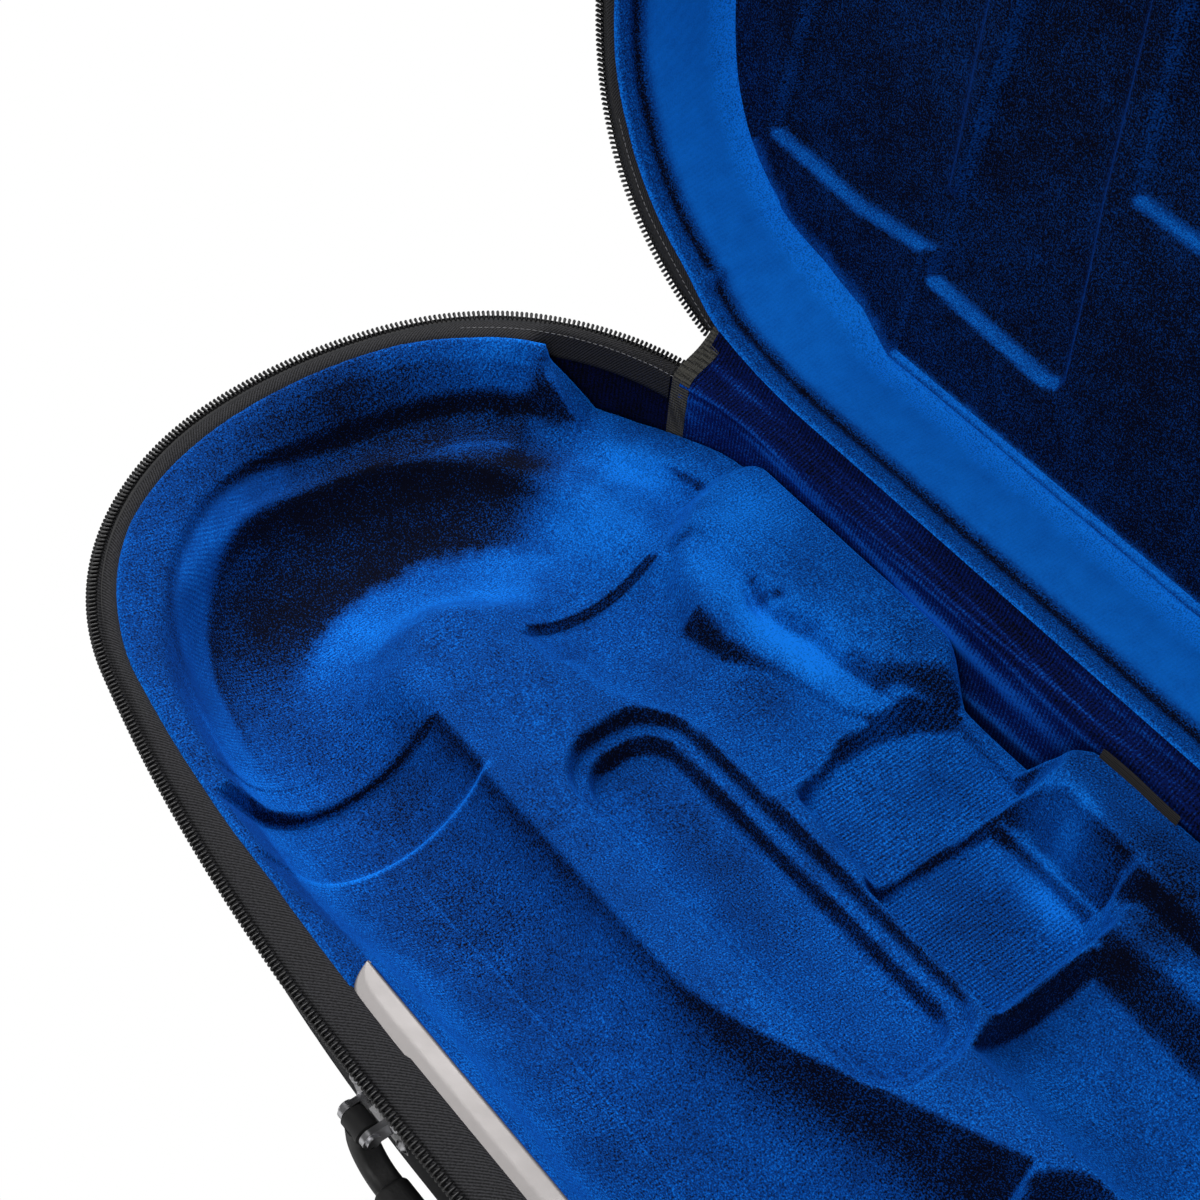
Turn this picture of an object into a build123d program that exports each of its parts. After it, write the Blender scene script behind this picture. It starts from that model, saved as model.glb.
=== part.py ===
"""Tenor saxophone case with a zip: a contoured tray and lid with moulded velour liners, lid open."""
import os
from math import cos, radians, sin

from build123d import *

# Sizes are in millimetres. X runs along the hinge from the bell end to the neck end, +Y from the
# handle side to the hinge, +Z up, and the origin is the middle of the base that the case lies on.
CLOSE_Z = 124.0          # plane where tray and lid meet
LID_HEIGHT = 92.0        # lid above that plane when closed
HINGE_Y = 180.0          # hinge axis, at the height of CLOSE_Z
OPEN_ANGLE = 100.0       # how far the lid stands open at rest

# Tooth line of the zip, as seen from above: arcs that bend right, then a neck end that steps in.
FRONT_Y = -180.0
FRONT_X = -65.0          # where the straight front side ends
BELL_ARCS = [(1206, 11.5), (147, 69.5), (240, 29), (130, 30), (165, 24), (300, 16)]
NECK_END_X = 425.0
NECK_CORNER = 95.0
NECK_FRONT_ARC = (90, 75)
NECK_WAIST_ARC = (260, -27)
WAIST_RUN = 40.0
FRONT_SHOULDER_ARC = (200, 42)

# Walls, as distances in from the tooth line
SHELL_INSET = 9.0
SHELL_WALL = 4.0
LINING_INSET = 20.0      # where the velour starts
DRAFT = 7.0
BASE_RADIUS = 28.0
RIM_GAP = 2.0            # rim top below the closing plane
RIM_Z = CLOSE_Z - RIM_GAP
FOAM_TOP = 16.0          # base foam under the tray liner
CLOTH = 1.2              # cover cloth, gusset and rim bindings
FAR = 500.0              # half size of boxes that only cut to one side of a plane

# Zip
TAPE = 1.2
TAPE_INSET = 2.5
COIL_WIDTH = 5.0
COIL_HEIGHT = 4.2
COIL_CHAMFER = 1.2
COIL_DROP = 0.4          # coil top below the closing plane
BINDING_DEPTH = 12.0     # ribbon down the outside of each rim
ZIP_STOP_BELL = -301.0   # the chain ends short of the hinge at both corners
ZIP_STOP_NECK = 369.0
SLIDER_ANGLE = 34.0      # place of the parked slider on the neck corner, from the hinge side
SLIDER_KEEP = (300, 155)     # the lid's chain also stops short of the slider, past these X and Y
PULL_Z = 115.3           # axis of the pull's crossbar
PULL_LENGTH = 38.0
BRIDGE = 9.0             # inner length of the slider's bridge

# Tray liner: a sloping lip, then a flatter ledge, then the beds for the horn
LIP_DEPTH = 18.0
LIP_SLOPE = 45.0
LEDGE_DEPTH = 14.0
LEDGE_SLOPE = 42.0
LINING_TOP = 140.0       # cutting blocks end above the rim
ISLAND_TIP = (-240.0, -4.0)
BOW_CENTRE_RADIUS = 88.0
BOW_TUBE_RADIUS = 52.0
LIMB_Z = 108.0
FRONT_LIMB_Y = -84.0
REAR_LIMB_Y = 62.0
# Straight beds: x from, x to, y, z of the tube's axis, radius
FRONT_LIMB_BED = (-242, -180, FRONT_LIMB_Y, LIMB_Z, 46)
FRONT_LIMB_RING = (-222, -182, FRONT_LIMB_Y, LIMB_Z, 51)
REAR_LIMB_BED = (-242, -206, REAR_LIMB_Y, 128, 50)
REAR_LIMB_RING = (-235, -212, REAR_LIMB_Y, 128, 55)
KEY_STACK_BED = (-210, -100, REAR_LIMB_Y + 4, 132, 50)
BODY_TUBE_BED = (60, 372, 78, 112, 47)
# Bell bed: where its axis lies, and its radius along it
BELL_AXIS = (-66, 112)
BELL_FLARE = [(-182, 48), (-60, 50), (20, 58), (75, 74), (100, 88)]
BELL_RIM_X = 112
# Recesses and raised blocks: low corner, high corner, plan radius, edge radius
CENTRE_RECESS = ((-170, -10, 80), (52, 52, LINING_TOP), 24, 4)
CENTRE_WELL = ((-158, 2, 64), (40, 40, LINING_TOP), 16, 6)
SIDE_KEY_RECESS = ((-165, 92, 86), (-92, 134, LINING_TOP), 14, 6)
RIBBED_RECESS = ((-86, 70, 72), (-20, 142, LINING_TOP), 14, 6)
LOW_KEY_RECESS = ((-16, 62, 78), (46, 108, LINING_TOP), 14, 6)
NECK_POCKET = ((140, -130, 46), (352, 24, LINING_TOP), 26, 10)
PLATEAU = ((-240, 113, 60), (-104, 175, 110), 22, 8)
POST = ((-4, 110, 60), (44, 175, 117), 14, 10)
NECK_SHELF = ((60, 122, 60), (330, 175, 108), 20, 8)

# Lid liner, in the closed lid's place
LID_FLOOR = CLOSE_Z + 62.0   # inner panel
LID_FOAM = CLOSE_Z + 76.0    # top foam starts here
LID_DRAFT = 8.0
LID_LIMB_BED = ((-225, -100, CLOSE_Z), (-146, 112, LID_FLOOR + 10), 16, 4)
LID_BOW_PAD = ((-330, 24, LID_FLOOR - 12), (-206, 100, 300), 14, 4)
LID_BODY_BED = ((60, -60, CLOSE_Z), (330, 60, LID_FLOOR + 10), 20, 4)
LID_BED_INSET = 34.0         # beds in the lid stay this far inside the tooth line
PANEL_INSET = 70.0           # raised field on the outside of the lid
PANEL_HEIGHT = 3.0
PANEL_SLOPE = 30.0

# Hinge side: gusset, outer strip and ribbons, as bent lines of (Y, Z) points
GUSSET_FROM = -291.0
GUSSET_TO = 352.0
RIBBON = 9.0
RIBBON_THICKNESS = 1.6
GUSSET_LINE = [(165.5, 122.7), (172, 122.7), (179.5, 130), (183.4, 139.6)]
STRIP_LINE = [(174.3, 100), (177.0, 122), (180, 125.1), (183, 126.4), (202.2, 122.9)]
RIBBON_LINE = [(172, 123.2), (179.5, 130.3), (184.3, 147)]
LABEL = ((-6, 162.4, 117.2), (40, 163.4, 123.4))

# Carry handle on the front wall, strap rings on the end walls
HANDLE_X = -20.0
HANDLE_SPAN = 124.0      # between the middles of the two brackets
HANDLE_Z = 62.0
HANDLE_STAND = 11.0      # pin axis off the wall
HANDLE_REACH = 26.0      # pin axis to the middle of the grip
PIN_RADIUS = 2.5
PIN_PLAY = 0.05
PIN_LENGTH = 19.0
PLATE = 2.0
RIVET_LENGTH = PLATE + SHELL_WALL - 0.6
STRAP_Z = 84.0
STRAP_BELL_Y = 5.0
RING_WIRE = 2.0
RING_RADIUS = 13.0
RING_STAND = 7.0         # ring bar off the wall
BACKING_FROM = -112.0    # visible tip of the long plate inside the front rim
BACKING_WIDTH = 20.0
BACKING_THICKNESS = 3.0
BACKING_SUNK = 0.8       # how deep the plate sits in the velour
BACKING_CROWN = 60.0
FOOT_X = (-200, -30, 140, 310)
FOOT_Z = 44.0
FOOT_RADIUS = 12.0
FOOT_HEIGHT = 8.0


def arc_shift(heading, radius, turn):
    """How far an arc carries a point; a positive turn bends right, a negative one left."""
    before, after = radians(heading), radians(heading - turn)
    side = 1 if turn > 0 else -1
    return (side * radius * (sin(before) - sin(after)), side * radius * (cos(after) - cos(before)))


def neck_drop():
    """Length of the straight neck end that brings the outline back to the front side."""
    heading, fall = -90, 0.0
    for move in (NECK_FRONT_ARC, NECK_WAIST_ARC):
        fall += arc_shift(heading, *move)[1]
        heading -= move[1]
    fall += WAIST_RUN * sin(radians(heading))
    fall += arc_shift(heading, *FRONT_SHOULDER_ARC)[1]
    return rear_y() - NECK_CORNER + fall - FRONT_Y


def rear_y():
    """Y of the straight tooth line that the bell arcs run into."""
    heading, y = 180, FRONT_Y
    for radius, turn in BELL_ARCS:
        y += arc_shift(heading, radius, turn)[1]
        heading -= turn
    return y


def tooth_line():
    """Closed wire of the zip's tooth line in the plane Z = 0, walked clockwise."""
    moves = list(BELL_ARCS)
    moves += [(None, "to neck"), (NECK_CORNER, 90), (None, neck_drop()), NECK_FRONT_ARC, NECK_WAIST_ARC]
    moves += [(None, WAIST_RUN), FRONT_SHOULDER_ARC]
    x, y, heading = FRONT_X, FRONT_Y, 180.0
    edges = []
    for radius, turn in moves:
        start = (x, y)
        if radius is None:
            length = NECK_END_X - NECK_CORNER - x if turn == "to neck" else turn
            x += length * cos(radians(heading))
            y += length * sin(radians(heading))
            edges.append(Line(start, (x, y)))
            continue
        half = arc_shift(heading, radius, turn / 2)
        full = arc_shift(heading, radius, turn)
        middle = (x + half[0], y + half[1])
        x, y, heading = x + full[0], y + full[1], heading - turn
        edges.append(ThreePointArc(start, middle, (x, y)))
    edges.append(Line((x, y), (FRONT_X, FRONT_Y)))
    return Wire(edges)


TOOTH_LINE = tooth_line()


def outline(inset, z=0.0):
    """Plan face whose edge lies the given distance inside the tooth line."""
    wire = TOOTH_LINE if inset == 0 else TOOTH_LINE.offset_2d(-inset)
    return Pos(0, 0, z) * Face(wire)


def drafted(inset, z_from, z_to, draft=DRAFT):
    """Block on the outline at z_from whose walls lean in towards z_to."""
    way = (0, 0, 1 if z_to > z_from else -1)
    face = outline(inset, z_from)
    return extrude(face, amount=abs(z_to - z_from), dir=way, taper=draft)


def slab(inset, z_from, z_to):
    return extrude(outline(inset, z_from), amount=z_to - z_from, dir=(0, 0, 1))


def tub(inset, z_rim, z_floor, corner):
    """Drafted block with its far edge rounded, the outside or inside form of a moulded half."""
    block = drafted(inset, z_rim, z_floor)
    far = block.edges().group_by(Axis.Z)[0 if z_floor < z_rim else -1]
    return fillet(far, corner)


def box_between(low, high):
    size = [b - a for a, b in zip(low, high)]
    middle = [(a + b) / 2 for a, b in zip(low, high)]
    return Pos(*middle) * Box(*size)


def rounded_block(low, high, plan_radius, top_radius, cut_at_top=False):
    """Box with rounded upright edges and a softened top, or bottom when it cuts a recess."""
    block = box_between(low, high)
    block = fillet(block.edges().filter_by(Axis.Z), plan_radius)
    chosen = block.edges().group_by(Axis.Z)[0 if cut_at_top else -1]
    return fillet(chosen, top_radius)


def trough(x_from, x_to, y, z, radius):
    """Lying cylinder with an open top, the bed of a straight tube."""
    bed = Pos((x_from + x_to) / 2, y, z) * Rot(0, 90, 0) * Cylinder(radius, x_to - x_from)
    above = box_between((x_from, y - radius, z), (x_to, y + radius, CLOSE_Z + 20))
    return bed + above


def opened(shape):
    """Turns a lid piece from its closed place to the open rest pose."""
    axis = Axis((0, HINGE_Y, CLOSE_Z), (1, 0, 0))
    return shape.rotate(axis, -OPEN_ANGLE)


def hinge_stretch():
    """Space along the hinge where there is no zip."""
    return box_between((ZIP_STOP_BELL, 100, 0), (ZIP_STOP_NECK, FAR, FAR))


# Tray half
def tray_inside():
    return tub(SHELL_INSET + SHELL_WALL, RIM_Z, SHELL_WALL, BASE_RADIUS - SHELL_WALL)


def tray_shell():
    return tub(SHELL_INSET, RIM_Z, 0, BASE_RADIUS) - tray_inside() - handle_rivets() - strap_rivets()


def tray_base_foam():
    return tray_inside() & box_between((-FAR, -FAR, 0), (FAR, FAR, FOAM_TOP))


def bow_bed():
    """Half ring that the bow of the horn lies in, round the tip of the island."""
    x, y = ISLAND_TIP
    ring = Pos(x, y, LIMB_Z) * Torus(BOW_CENTRE_RADIUS, BOW_TUBE_RADIUS)
    height = LINING_TOP - LIMB_Z
    above = Cylinder(BOW_CENTRE_RADIUS + BOW_TUBE_RADIUS, height)
    above -= Cylinder(BOW_CENTRE_RADIUS - BOW_TUBE_RADIUS, height)
    above = Pos(x, y, LIMB_Z + height / 2) * above
    return (ring + above) & box_between((-FAR, -FAR, 0), (x, FAR, FAR))


def bell_bed():
    """Bed of the bell: a turned flare, wider towards the neck end."""
    start, start_radius = BELL_FLARE[0]
    end_radius = BELL_FLARE[-1][1]
    with BuildLine() as profile:
        Spline(BELL_FLARE, tangents=[(1, 0), (1, 1.1)])
        Polyline(BELL_FLARE[-1], (BELL_RIM_X, end_radius), (BELL_RIM_X, 0), (start, 0), (start, start_radius))
    return Pos(0, *BELL_AXIS) * revolve(make_face(profile.line), Axis.X)


def tray_cavity():
    """Everything that is hollowed out of the tray liner."""
    ledge_z = RIM_Z - LIP_DEPTH
    bound = LINING_INSET + LIP_DEPTH
    hollow = drafted(LINING_INSET, RIM_Z, ledge_z, LIP_SLOPE)
    hollow += drafted(bound + 2, ledge_z + 0.5, ledge_z - LEDGE_DEPTH, LEDGE_SLOPE)
    for block in (PLATEAU, POST, NECK_SHELF):
        hollow -= rounded_block(*block)
    beds = bow_bed() + bell_bed()
    for bed in (FRONT_LIMB_BED, FRONT_LIMB_RING, REAR_LIMB_BED, REAR_LIMB_RING, KEY_STACK_BED, BODY_TUBE_BED):
        beds += trough(*bed)
    hollow += beds & slab(bound + 6, FOAM_TOP + 4, LINING_TOP + 20)
    for recess in (CENTRE_RECESS, CENTRE_WELL, SIDE_KEY_RECESS, RIBBED_RECESS, LOW_KEY_RECESS):
        hollow += rounded_block(*recess, cut_at_top=True)
    pocket = rounded_block(*NECK_POCKET, cut_at_top=True)
    return hollow + (pocket & slab(bound + 10, FOAM_TOP + 4, LINING_TOP + 20))


def tray_liner():
    block = tray_inside() & box_between((-FAR, -FAR, FOAM_TOP), (FAR, FAR, FAR))
    return block - tray_cavity() - backing_seat() - label_seam()


def rim_binding():
    """Cover tape folded round the outer edge of a rim, in the tray's place."""
    low = RIM_Z - BINDING_DEPTH
    return drafted(SHELL_INSET - CLOTH, RIM_Z, low) - drafted(SHELL_INSET, RIM_Z, low)


def zip_tape():
    """Flat woven tape from the chain in to the velour, stopped near the hinge corners."""
    ring = slab(TAPE_INSET, RIM_Z, RIM_Z + TAPE) - slab(LINING_INSET, RIM_Z, RIM_Z + TAPE)
    return ring - hinge_stretch()


def zip_coil():
    """Chain of coil teeth as one rounded bead along the tooth line."""
    top = CLOSE_Z - COIL_DROP
    ring = slab(-COIL_WIDTH / 2, top - COIL_HEIGHT, top) - slab(COIL_WIDTH / 2, top - COIL_HEIGHT, top)
    outer = ring.edges().group_by(Axis.Z)
    ring = chamfer(outer[0] + outer[-1], COIL_CHAMFER)
    return ring - hinge_stretch()


# Lid half: the same pieces mirrored in the closing plane, then opened
def to_lid(shape):
    """Mirrors a tray piece in the closing plane."""
    return mirror(shape, about=Plane.XY.offset(CLOSE_Z))


def lid_outside():
    return tub(SHELL_INSET, CLOSE_Z + RIM_GAP, CLOSE_Z + LID_HEIGHT, BASE_RADIUS)


def lid_inside():
    top = CLOSE_Z + LID_HEIGHT - SHELL_WALL
    return tub(SHELL_INSET + SHELL_WALL, CLOSE_Z + RIM_GAP, top, BASE_RADIUS - SHELL_WALL)


def lid_shell():
    top = CLOSE_Z + LID_HEIGHT
    panel = drafted(PANEL_INSET, top - 1, top + PANEL_HEIGHT, PANEL_SLOPE)
    return opened(lid_outside() - lid_inside() + panel)


def lid_cavity():
    """Hollow of the closed lid: one tub, two beds sunk in its panel and one raised pad."""
    low = CLOSE_Z + RIM_GAP
    hollow = drafted(LINING_INSET, low, LID_FLOOR, LID_DRAFT)
    beds = rounded_block(*LID_LIMB_BED) + rounded_block(*LID_BODY_BED)
    hollow += beds & slab(LID_BED_INSET, low, LID_FOAM)
    return hollow - rounded_block(*LID_BOW_PAD, cut_at_top=True)


def lid_liner():
    block = lid_inside() & box_between((-FAR, -FAR, 0), (FAR, FAR, LID_FOAM))
    return opened(block - lid_cavity())


def lid_top_foam():
    return opened(lid_inside() & box_between((-FAR, -FAR, LID_FOAM), (FAR, FAR, FAR)))


# Hinge side
def bent_strip(points, thickness, x_from, x_to, bend):
    """Thin strip along X whose section follows a bent line of (Y, Z) points."""
    line = FilletPolyline(*points, radius=bend)
    section = Plane.YZ.offset(x_from) * trace(line, thickness)
    return extrude(section, amount=x_to - x_from, dir=(1, 0, 0))


def hinge_gusset():
    """Velour strip from the tray's rear rim up to the open lid's rim."""
    return bent_strip(GUSSET_LINE, CLOTH, GUSSET_FROM, GUSSET_TO, 3)


def hinge_strip():
    """Outer hinge fabric, from the tray's rear wall round to the underside of the open lid."""
    return bent_strip(STRIP_LINE, CLOTH, GUSSET_FROM, GUSSET_TO, 1.5)


def hinge_binding(x_from, lining_y):
    """Ribbon over the end of the gusset, from inside the tray up to the lid's rim."""
    points = [(lining_y - 9, 116.2), (lining_y - 1.6, 123.2)] + RIBBON_LINE
    return bent_strip(points, RIBBON_THICKNESS, x_from, x_from + RIBBON, 2)


def label_tab():
    """Short bare woven tab, caught in the seam behind the post."""
    return box_between(*LABEL)


def label_seam():
    """Slot in the liner that the tab stands in, open at the top."""
    low, high = LABEL
    return box_between([v - 0.4 for v in low], (high[0] + 0.4, high[1] + 0.4, LINING_TOP))


# Zip slider and pull, parked at the neck end of the chain
def slider_place():
    angle = radians(SLIDER_ANGLE)
    centre = (NECK_END_X - NECK_CORNER, rear_y() - NECK_CORNER)
    x = centre[0] + NECK_CORNER * sin(angle)
    y = centre[1] + NECK_CORNER * cos(angle)
    return Pos(x, y, 0) * Rot(0, 0, -SLIDER_ANGLE)


def slider_outline(z):
    """Shield shape of a slider plate: wide at the shoulders, narrow at the tail."""
    shape = Polygon((-7, -3.4), (-3, -4.8), (4, -4.8), (7, -3.6), (7, 3.6), (4, 4.8), (-3, 4.8), (-7, 3.4))
    return Pos(0, 0, z) * fillet(shape.vertices(), 1.2)


def zip_slider():
    """Two plates joined by a wall outside the chain, with a bridge for the pull below."""
    coil_low = CLOSE_Z - COIL_DROP - COIL_HEIGHT
    body = extrude(slider_outline(coil_low - 1.9), amount=1.6)
    body += extrude(slider_outline(CLOSE_Z), amount=1.3)
    wall = box_between((-5, 3.1, coil_low - 1), (5, 4.8, CLOSE_Z + 0.5))
    body += wall
    arch = box_between((-BRIDGE / 2 - 1.4, -1.1, PULL_Z - 3), (BRIDGE / 2 + 1.4, 1.1, coil_low - 1.5))
    arch = fillet(arch.edges().filter_by(Axis.Y).group_by(Axis.Z)[0], 2.2)
    arch -= box_between((-BRIDGE / 2, -2, PULL_Z - 1.6), (BRIDGE / 2, 2, coil_low - 1.9))
    return slider_place() * (body + arch)


def zip_pull():
    """Flat pull with a crossbar through the bridge; it hangs straight down."""
    bar = Pos(0, 0, PULL_Z) * Rot(90, 0, 0) * Cylinder(1.0, 8)
    arms = box_between((-0.9, 1.8, PULL_Z - 8), (0.9, 3.8, PULL_Z))
    arms += box_between((-0.9, -3.8, PULL_Z - 8), (0.9, -1.8, PULL_Z))
    plate = box_between((-0.9, -4.2, PULL_Z - PULL_LENGTH), (0.9, 4.2, PULL_Z - 7))
    plate = fillet(plate.edges().filter_by(Axis.X), 2)
    slot = box_between((-2, -1.6, PULL_Z - PULL_LENGTH + 3), (2, 1.6, PULL_Z - PULL_LENGTH + 9))
    return slider_place() * (bar + arms + plate - slot)


# Carry handle
def wall_slope(z):
    """How far the drafted wall has leaned in at a height."""
    return (RIM_Z - z) * sin(radians(DRAFT)) / cos(radians(DRAFT))


def front_wall(x, z):
    """Frame on the front wall: local -Y stands off it, local Z runs up it."""
    return Pos(x, FRONT_Y + SHELL_INSET + wall_slope(z), z) * Rot(DRAFT, 0, 0)


def handle_axis_y():
    return FRONT_Y + SHELL_INSET + wall_slope(HANDLE_Z) - HANDLE_STAND


def handle_ends():
    return [HANDLE_X - HANDLE_SPAN / 2, HANDLE_X + HANDLE_SPAN / 2]


def lying_cylinder(x, y, z, radius, length):
    return Pos(x, y, z) * Rot(0, 90, 0) * Cylinder(radius, length)


def handle_bracket(x):
    """Riveted plate with two ears that carry the handle's pin."""
    place = front_wall(x, HANDLE_Z)
    plate = box_between((-19, -PLATE, -14), (19, 0, 14))
    plate = fillet(plate.edges().filter_by(Axis.Y), 5)
    bracket = place * plate
    y = handle_axis_y()
    for side in (-1, 1):
        ear_x = x + side * 8
        ear = box_between((ear_x - 1.5, y, HANDLE_Z - 5), (ear_x + 1.5, y + HANDLE_STAND - 1, HANDLE_Z + 5))
        ear += lying_cylinder(ear_x, y, HANDLE_Z, 5, 3)
        bracket += ear
    bracket -= lying_cylinder(x, y, HANDLE_Z, PIN_RADIUS, 30)
    return bracket - handle_rivets()


def handle_pin(x):
    pin = lying_cylinder(x, handle_axis_y(), HANDLE_Z, PIN_RADIUS, PIN_LENGTH)
    for side in (-1, 1):
        pin += lying_cylinder(x + side * (PIN_LENGTH + 1.5) / 2, handle_axis_y(), HANDLE_Z, 3.6, 1.5)
    return pin


def rivet(place, length):
    """Domed rivet whose head sits on the plate; its shank goes back along local Y."""
    shank = Pos(0, length / 2 - PLATE, 0) * Rot(90, 0, 0) * Cylinder(1.8, length)
    head = Pos(0, -PLATE, 0) * Rot(90, 0, 0) * Cone(3.6, 2.0, 1.5, align=(Align.CENTER, Align.CENTER, Align.MIN))
    return place * (shank + head)


def handle_rivets():
    """Four rivets through each bracket and the front wall."""
    group = []
    for x in handle_ends():
        for dx in (-14.5, 14.5):
            for dz in (-9, 9):
                place = front_wall(x, HANDLE_Z) * Pos(dx, 0, dz)
                group.append(rivet(place, RIVET_LENGTH))
    return Compound(children=group)


def handle_grip():
    """Moulded arch: two legs with eyes on the pins and a thick rounded grip between them."""
    y = handle_axis_y()
    left, right = handle_ends()
    low = HANDLE_Z - HANDLE_REACH
    path = FilletPolyline((left, y, HANDLE_Z), (left, y, low), (right, y, low), (right, y, HANDLE_Z), radius=18)
    section = Plane((left, y, HANDLE_Z), x_dir=(1, 0, 0), z_dir=(0, 0, -1)) * RectangleRounded(9, 13, 3.5)
    grip = sweep(section, path=path)
    pad = box_between((left + 20, y - 9.5, low - 8), (right - 20, y + 7.5, low + 8))
    pad = fillet(pad.edges().filter_by(Axis.X), 6.5)
    pad = fillet(pad.edges().group_by(Axis.X)[0] + pad.edges().group_by(Axis.X)[-1], 2.5)
    grip += pad
    for x in (left, right):
        grip += lying_cylinder(x, y, HANDLE_Z, 6, 11)
        grip -= lying_cylinder(x, y, HANDLE_Z, PIN_RADIUS + PIN_PLAY, 14)
    return grip


def backing_plane():
    """Frame on the sloping lip inside the front rim, local Z out of the velour."""
    y = FRONT_Y + LINING_INSET + LIP_DEPTH / 2
    return Pos(HANDLE_X, y, RIM_Z - LIP_DEPTH / 2) * Rot(-LIP_SLOPE, 0, 0) * Pos(0, 0, -BACKING_SUNK)


def backing_outline(grow=0.0):
    """Long leaf with round points."""
    half = HANDLE_X - BACKING_FROM
    side = BACKING_WIDTH / 2
    straight = half - 16
    with BuildLine() as edge:
        ThreePointArc((-straight, -side), (-half, 0), (-straight, side))
        Line((-straight, side), (straight, side))
        ThreePointArc((straight, side), (half, 0), (straight, -side))
        Line((straight, -side), (-straight, -side))
    face = make_face(edge.line)
    return offset(face, grow) if grow else face


def handle_backing_plate():
    """Crowned plate that spreads the handle's load, seated in the velour inside the front rim."""
    plate = extrude(backing_outline(), amount=BACKING_THICKNESS)
    plate &= lying_cylinder(0, 0, BACKING_THICKNESS - BACKING_CROWN, BACKING_CROWN, FAR)
    return backing_plane() * plate


def backing_seat():
    """Room for the plate in the velour, open upwards."""
    return backing_plane() * extrude(backing_outline(0.2), amount=12)


# Strap rings
def bell_wall():
    """Frame on the bell end's wall, local -Y outwards."""
    x = TOOTH_LINE.bounding_box().min.X + SHELL_INSET + wall_slope(STRAP_Z)
    return Pos(x, STRAP_BELL_Y, STRAP_Z) * Rot(0, 0, -90) * Rot(DRAFT, 0, 0)


def neck_wall():
    """The same frame on the neck end's wall."""
    x = NECK_END_X - SHELL_INSET - wall_slope(STRAP_Z)
    y = rear_y() - NECK_CORNER - neck_drop() / 2
    return Pos(x, y, STRAP_Z) * Rot(0, 0, 90) * Rot(DRAFT, 0, 0)


def strap_tab(place):
    """Folded webbing tab: a patch on the wall and a loop round the ring's bar."""
    patch = box_between((-14, -PLATE, -13), (14, 0, 15))
    patch = fillet(patch.edges().filter_by(Axis.Y), 3)
    loop = lying_cylinder(0, -RING_STAND, 0, 4.4, 15)
    loop += box_between((-7.5, -RING_STAND, -1.5), (7.5, -1, 4.4))
    loop -= lying_cylinder(0, -RING_STAND, 0, RING_WIRE + PIN_PLAY, 40)
    return place * (patch + loop) - strap_rivets()


def strap_ring(place):
    """D-shaped wire ring that hangs from its straight bar."""
    half = Torus(RING_RADIUS, RING_WIRE) & box_between((-30, -30, -5), (30, 0, 5))
    ring = Rot(90, 0, 0) * half
    ring += lying_cylinder(0, 0, 0, RING_WIRE, 2 * RING_RADIUS)
    for side in (-1, 1):
        ring += Pos(side * RING_RADIUS, 0, 0) * Sphere(RING_WIRE)
    upright = Rot(-DRAFT, 0, 0)
    return place * Pos(0, -RING_STAND, 0) * upright * ring


def strap_rivets():
    group = []
    for place in (bell_wall(), neck_wall()):
        for dx in (-9.5, 9.5):
            group.append(rivet(place * Pos(dx, 0, 10), RIVET_LENGTH))
    return Compound(children=group)


def rear_feet():
    """Four domed rubber feet on the wall under the hinge, for standing the closed case up."""
    foot = Cylinder(FOOT_RADIUS, FOOT_HEIGHT, align=(Align.CENTER, Align.CENTER, Align.MIN))
    foot = fillet(foot.edges().group_by(Axis.Z)[-1], FOOT_HEIGHT / 2)
    y = rear_y() - SHELL_INSET - wall_slope(FOOT_Z)
    return Compound(children=[Pos(x, y, FOOT_Z) * Rot(-90 - DRAFT, 0, 0) * foot for x in FOOT_X])


def lid_chain_keep():
    return box_between((*SLIDER_KEEP, 0), (FAR, FAR, FAR))


NODES = {
    "tray_shell": tray_shell,
    "tray_base_foam": tray_base_foam,
    "tray_liner": tray_liner,
    "tray_rim_binding": rim_binding,
    "tray_zip_tape": zip_tape,
    "tray_zip_coil": zip_coil,
    "lid_shell": lid_shell,
    "lid_top_foam": lid_top_foam,
    "lid_liner": lid_liner,
    "lid_rim_binding": lambda: opened(to_lid(rim_binding())),
    "lid_zip_tape": lambda: opened(to_lid(zip_tape()) - lid_chain_keep()),
    "lid_zip_coil": lambda: opened(to_lid(zip_coil()) - lid_chain_keep()),
    "hinge_gusset": hinge_gusset,
    "hinge_strip": hinge_strip,
    "hinge_binding_bell": lambda: hinge_binding(GUSSET_FROM - RIBBON, 155),
    "hinge_binding_neck": lambda: hinge_binding(GUSSET_TO, 158),
    "label_tab": label_tab,
    "zip_slider": zip_slider,
    "zip_pull": zip_pull,
    "handle_bracket_left": lambda: handle_bracket(handle_ends()[0]),
    "handle_bracket_right": lambda: handle_bracket(handle_ends()[1]),
    "handle_pin_left": lambda: handle_pin(handle_ends()[0]),
    "handle_pin_right": lambda: handle_pin(handle_ends()[1]),
    "handle_rivets": handle_rivets,
    "handle_grip": handle_grip,
    "handle_backing_plate": handle_backing_plate,
    "strap_tab_bell": lambda: strap_tab(bell_wall()),
    "strap_tab_neck": lambda: strap_tab(neck_wall()),
    "strap_ring_bell": lambda: strap_ring(bell_wall()),
    "strap_ring_neck": lambda: strap_ring(neck_wall()),
    "strap_rivets": strap_rivets,
    "rear_feet": rear_feet,
}


def main():
    """Builds every node and writes one STEP file for each."""
    os.makedirs("parts", exist_ok=True)
    for name, maker in NODES.items():
        export_step(maker(), f"parts/{name}.step")


if __name__ == "__main__":
    main()
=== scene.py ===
from math import copysign, cos, pi, radians, sin

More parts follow.
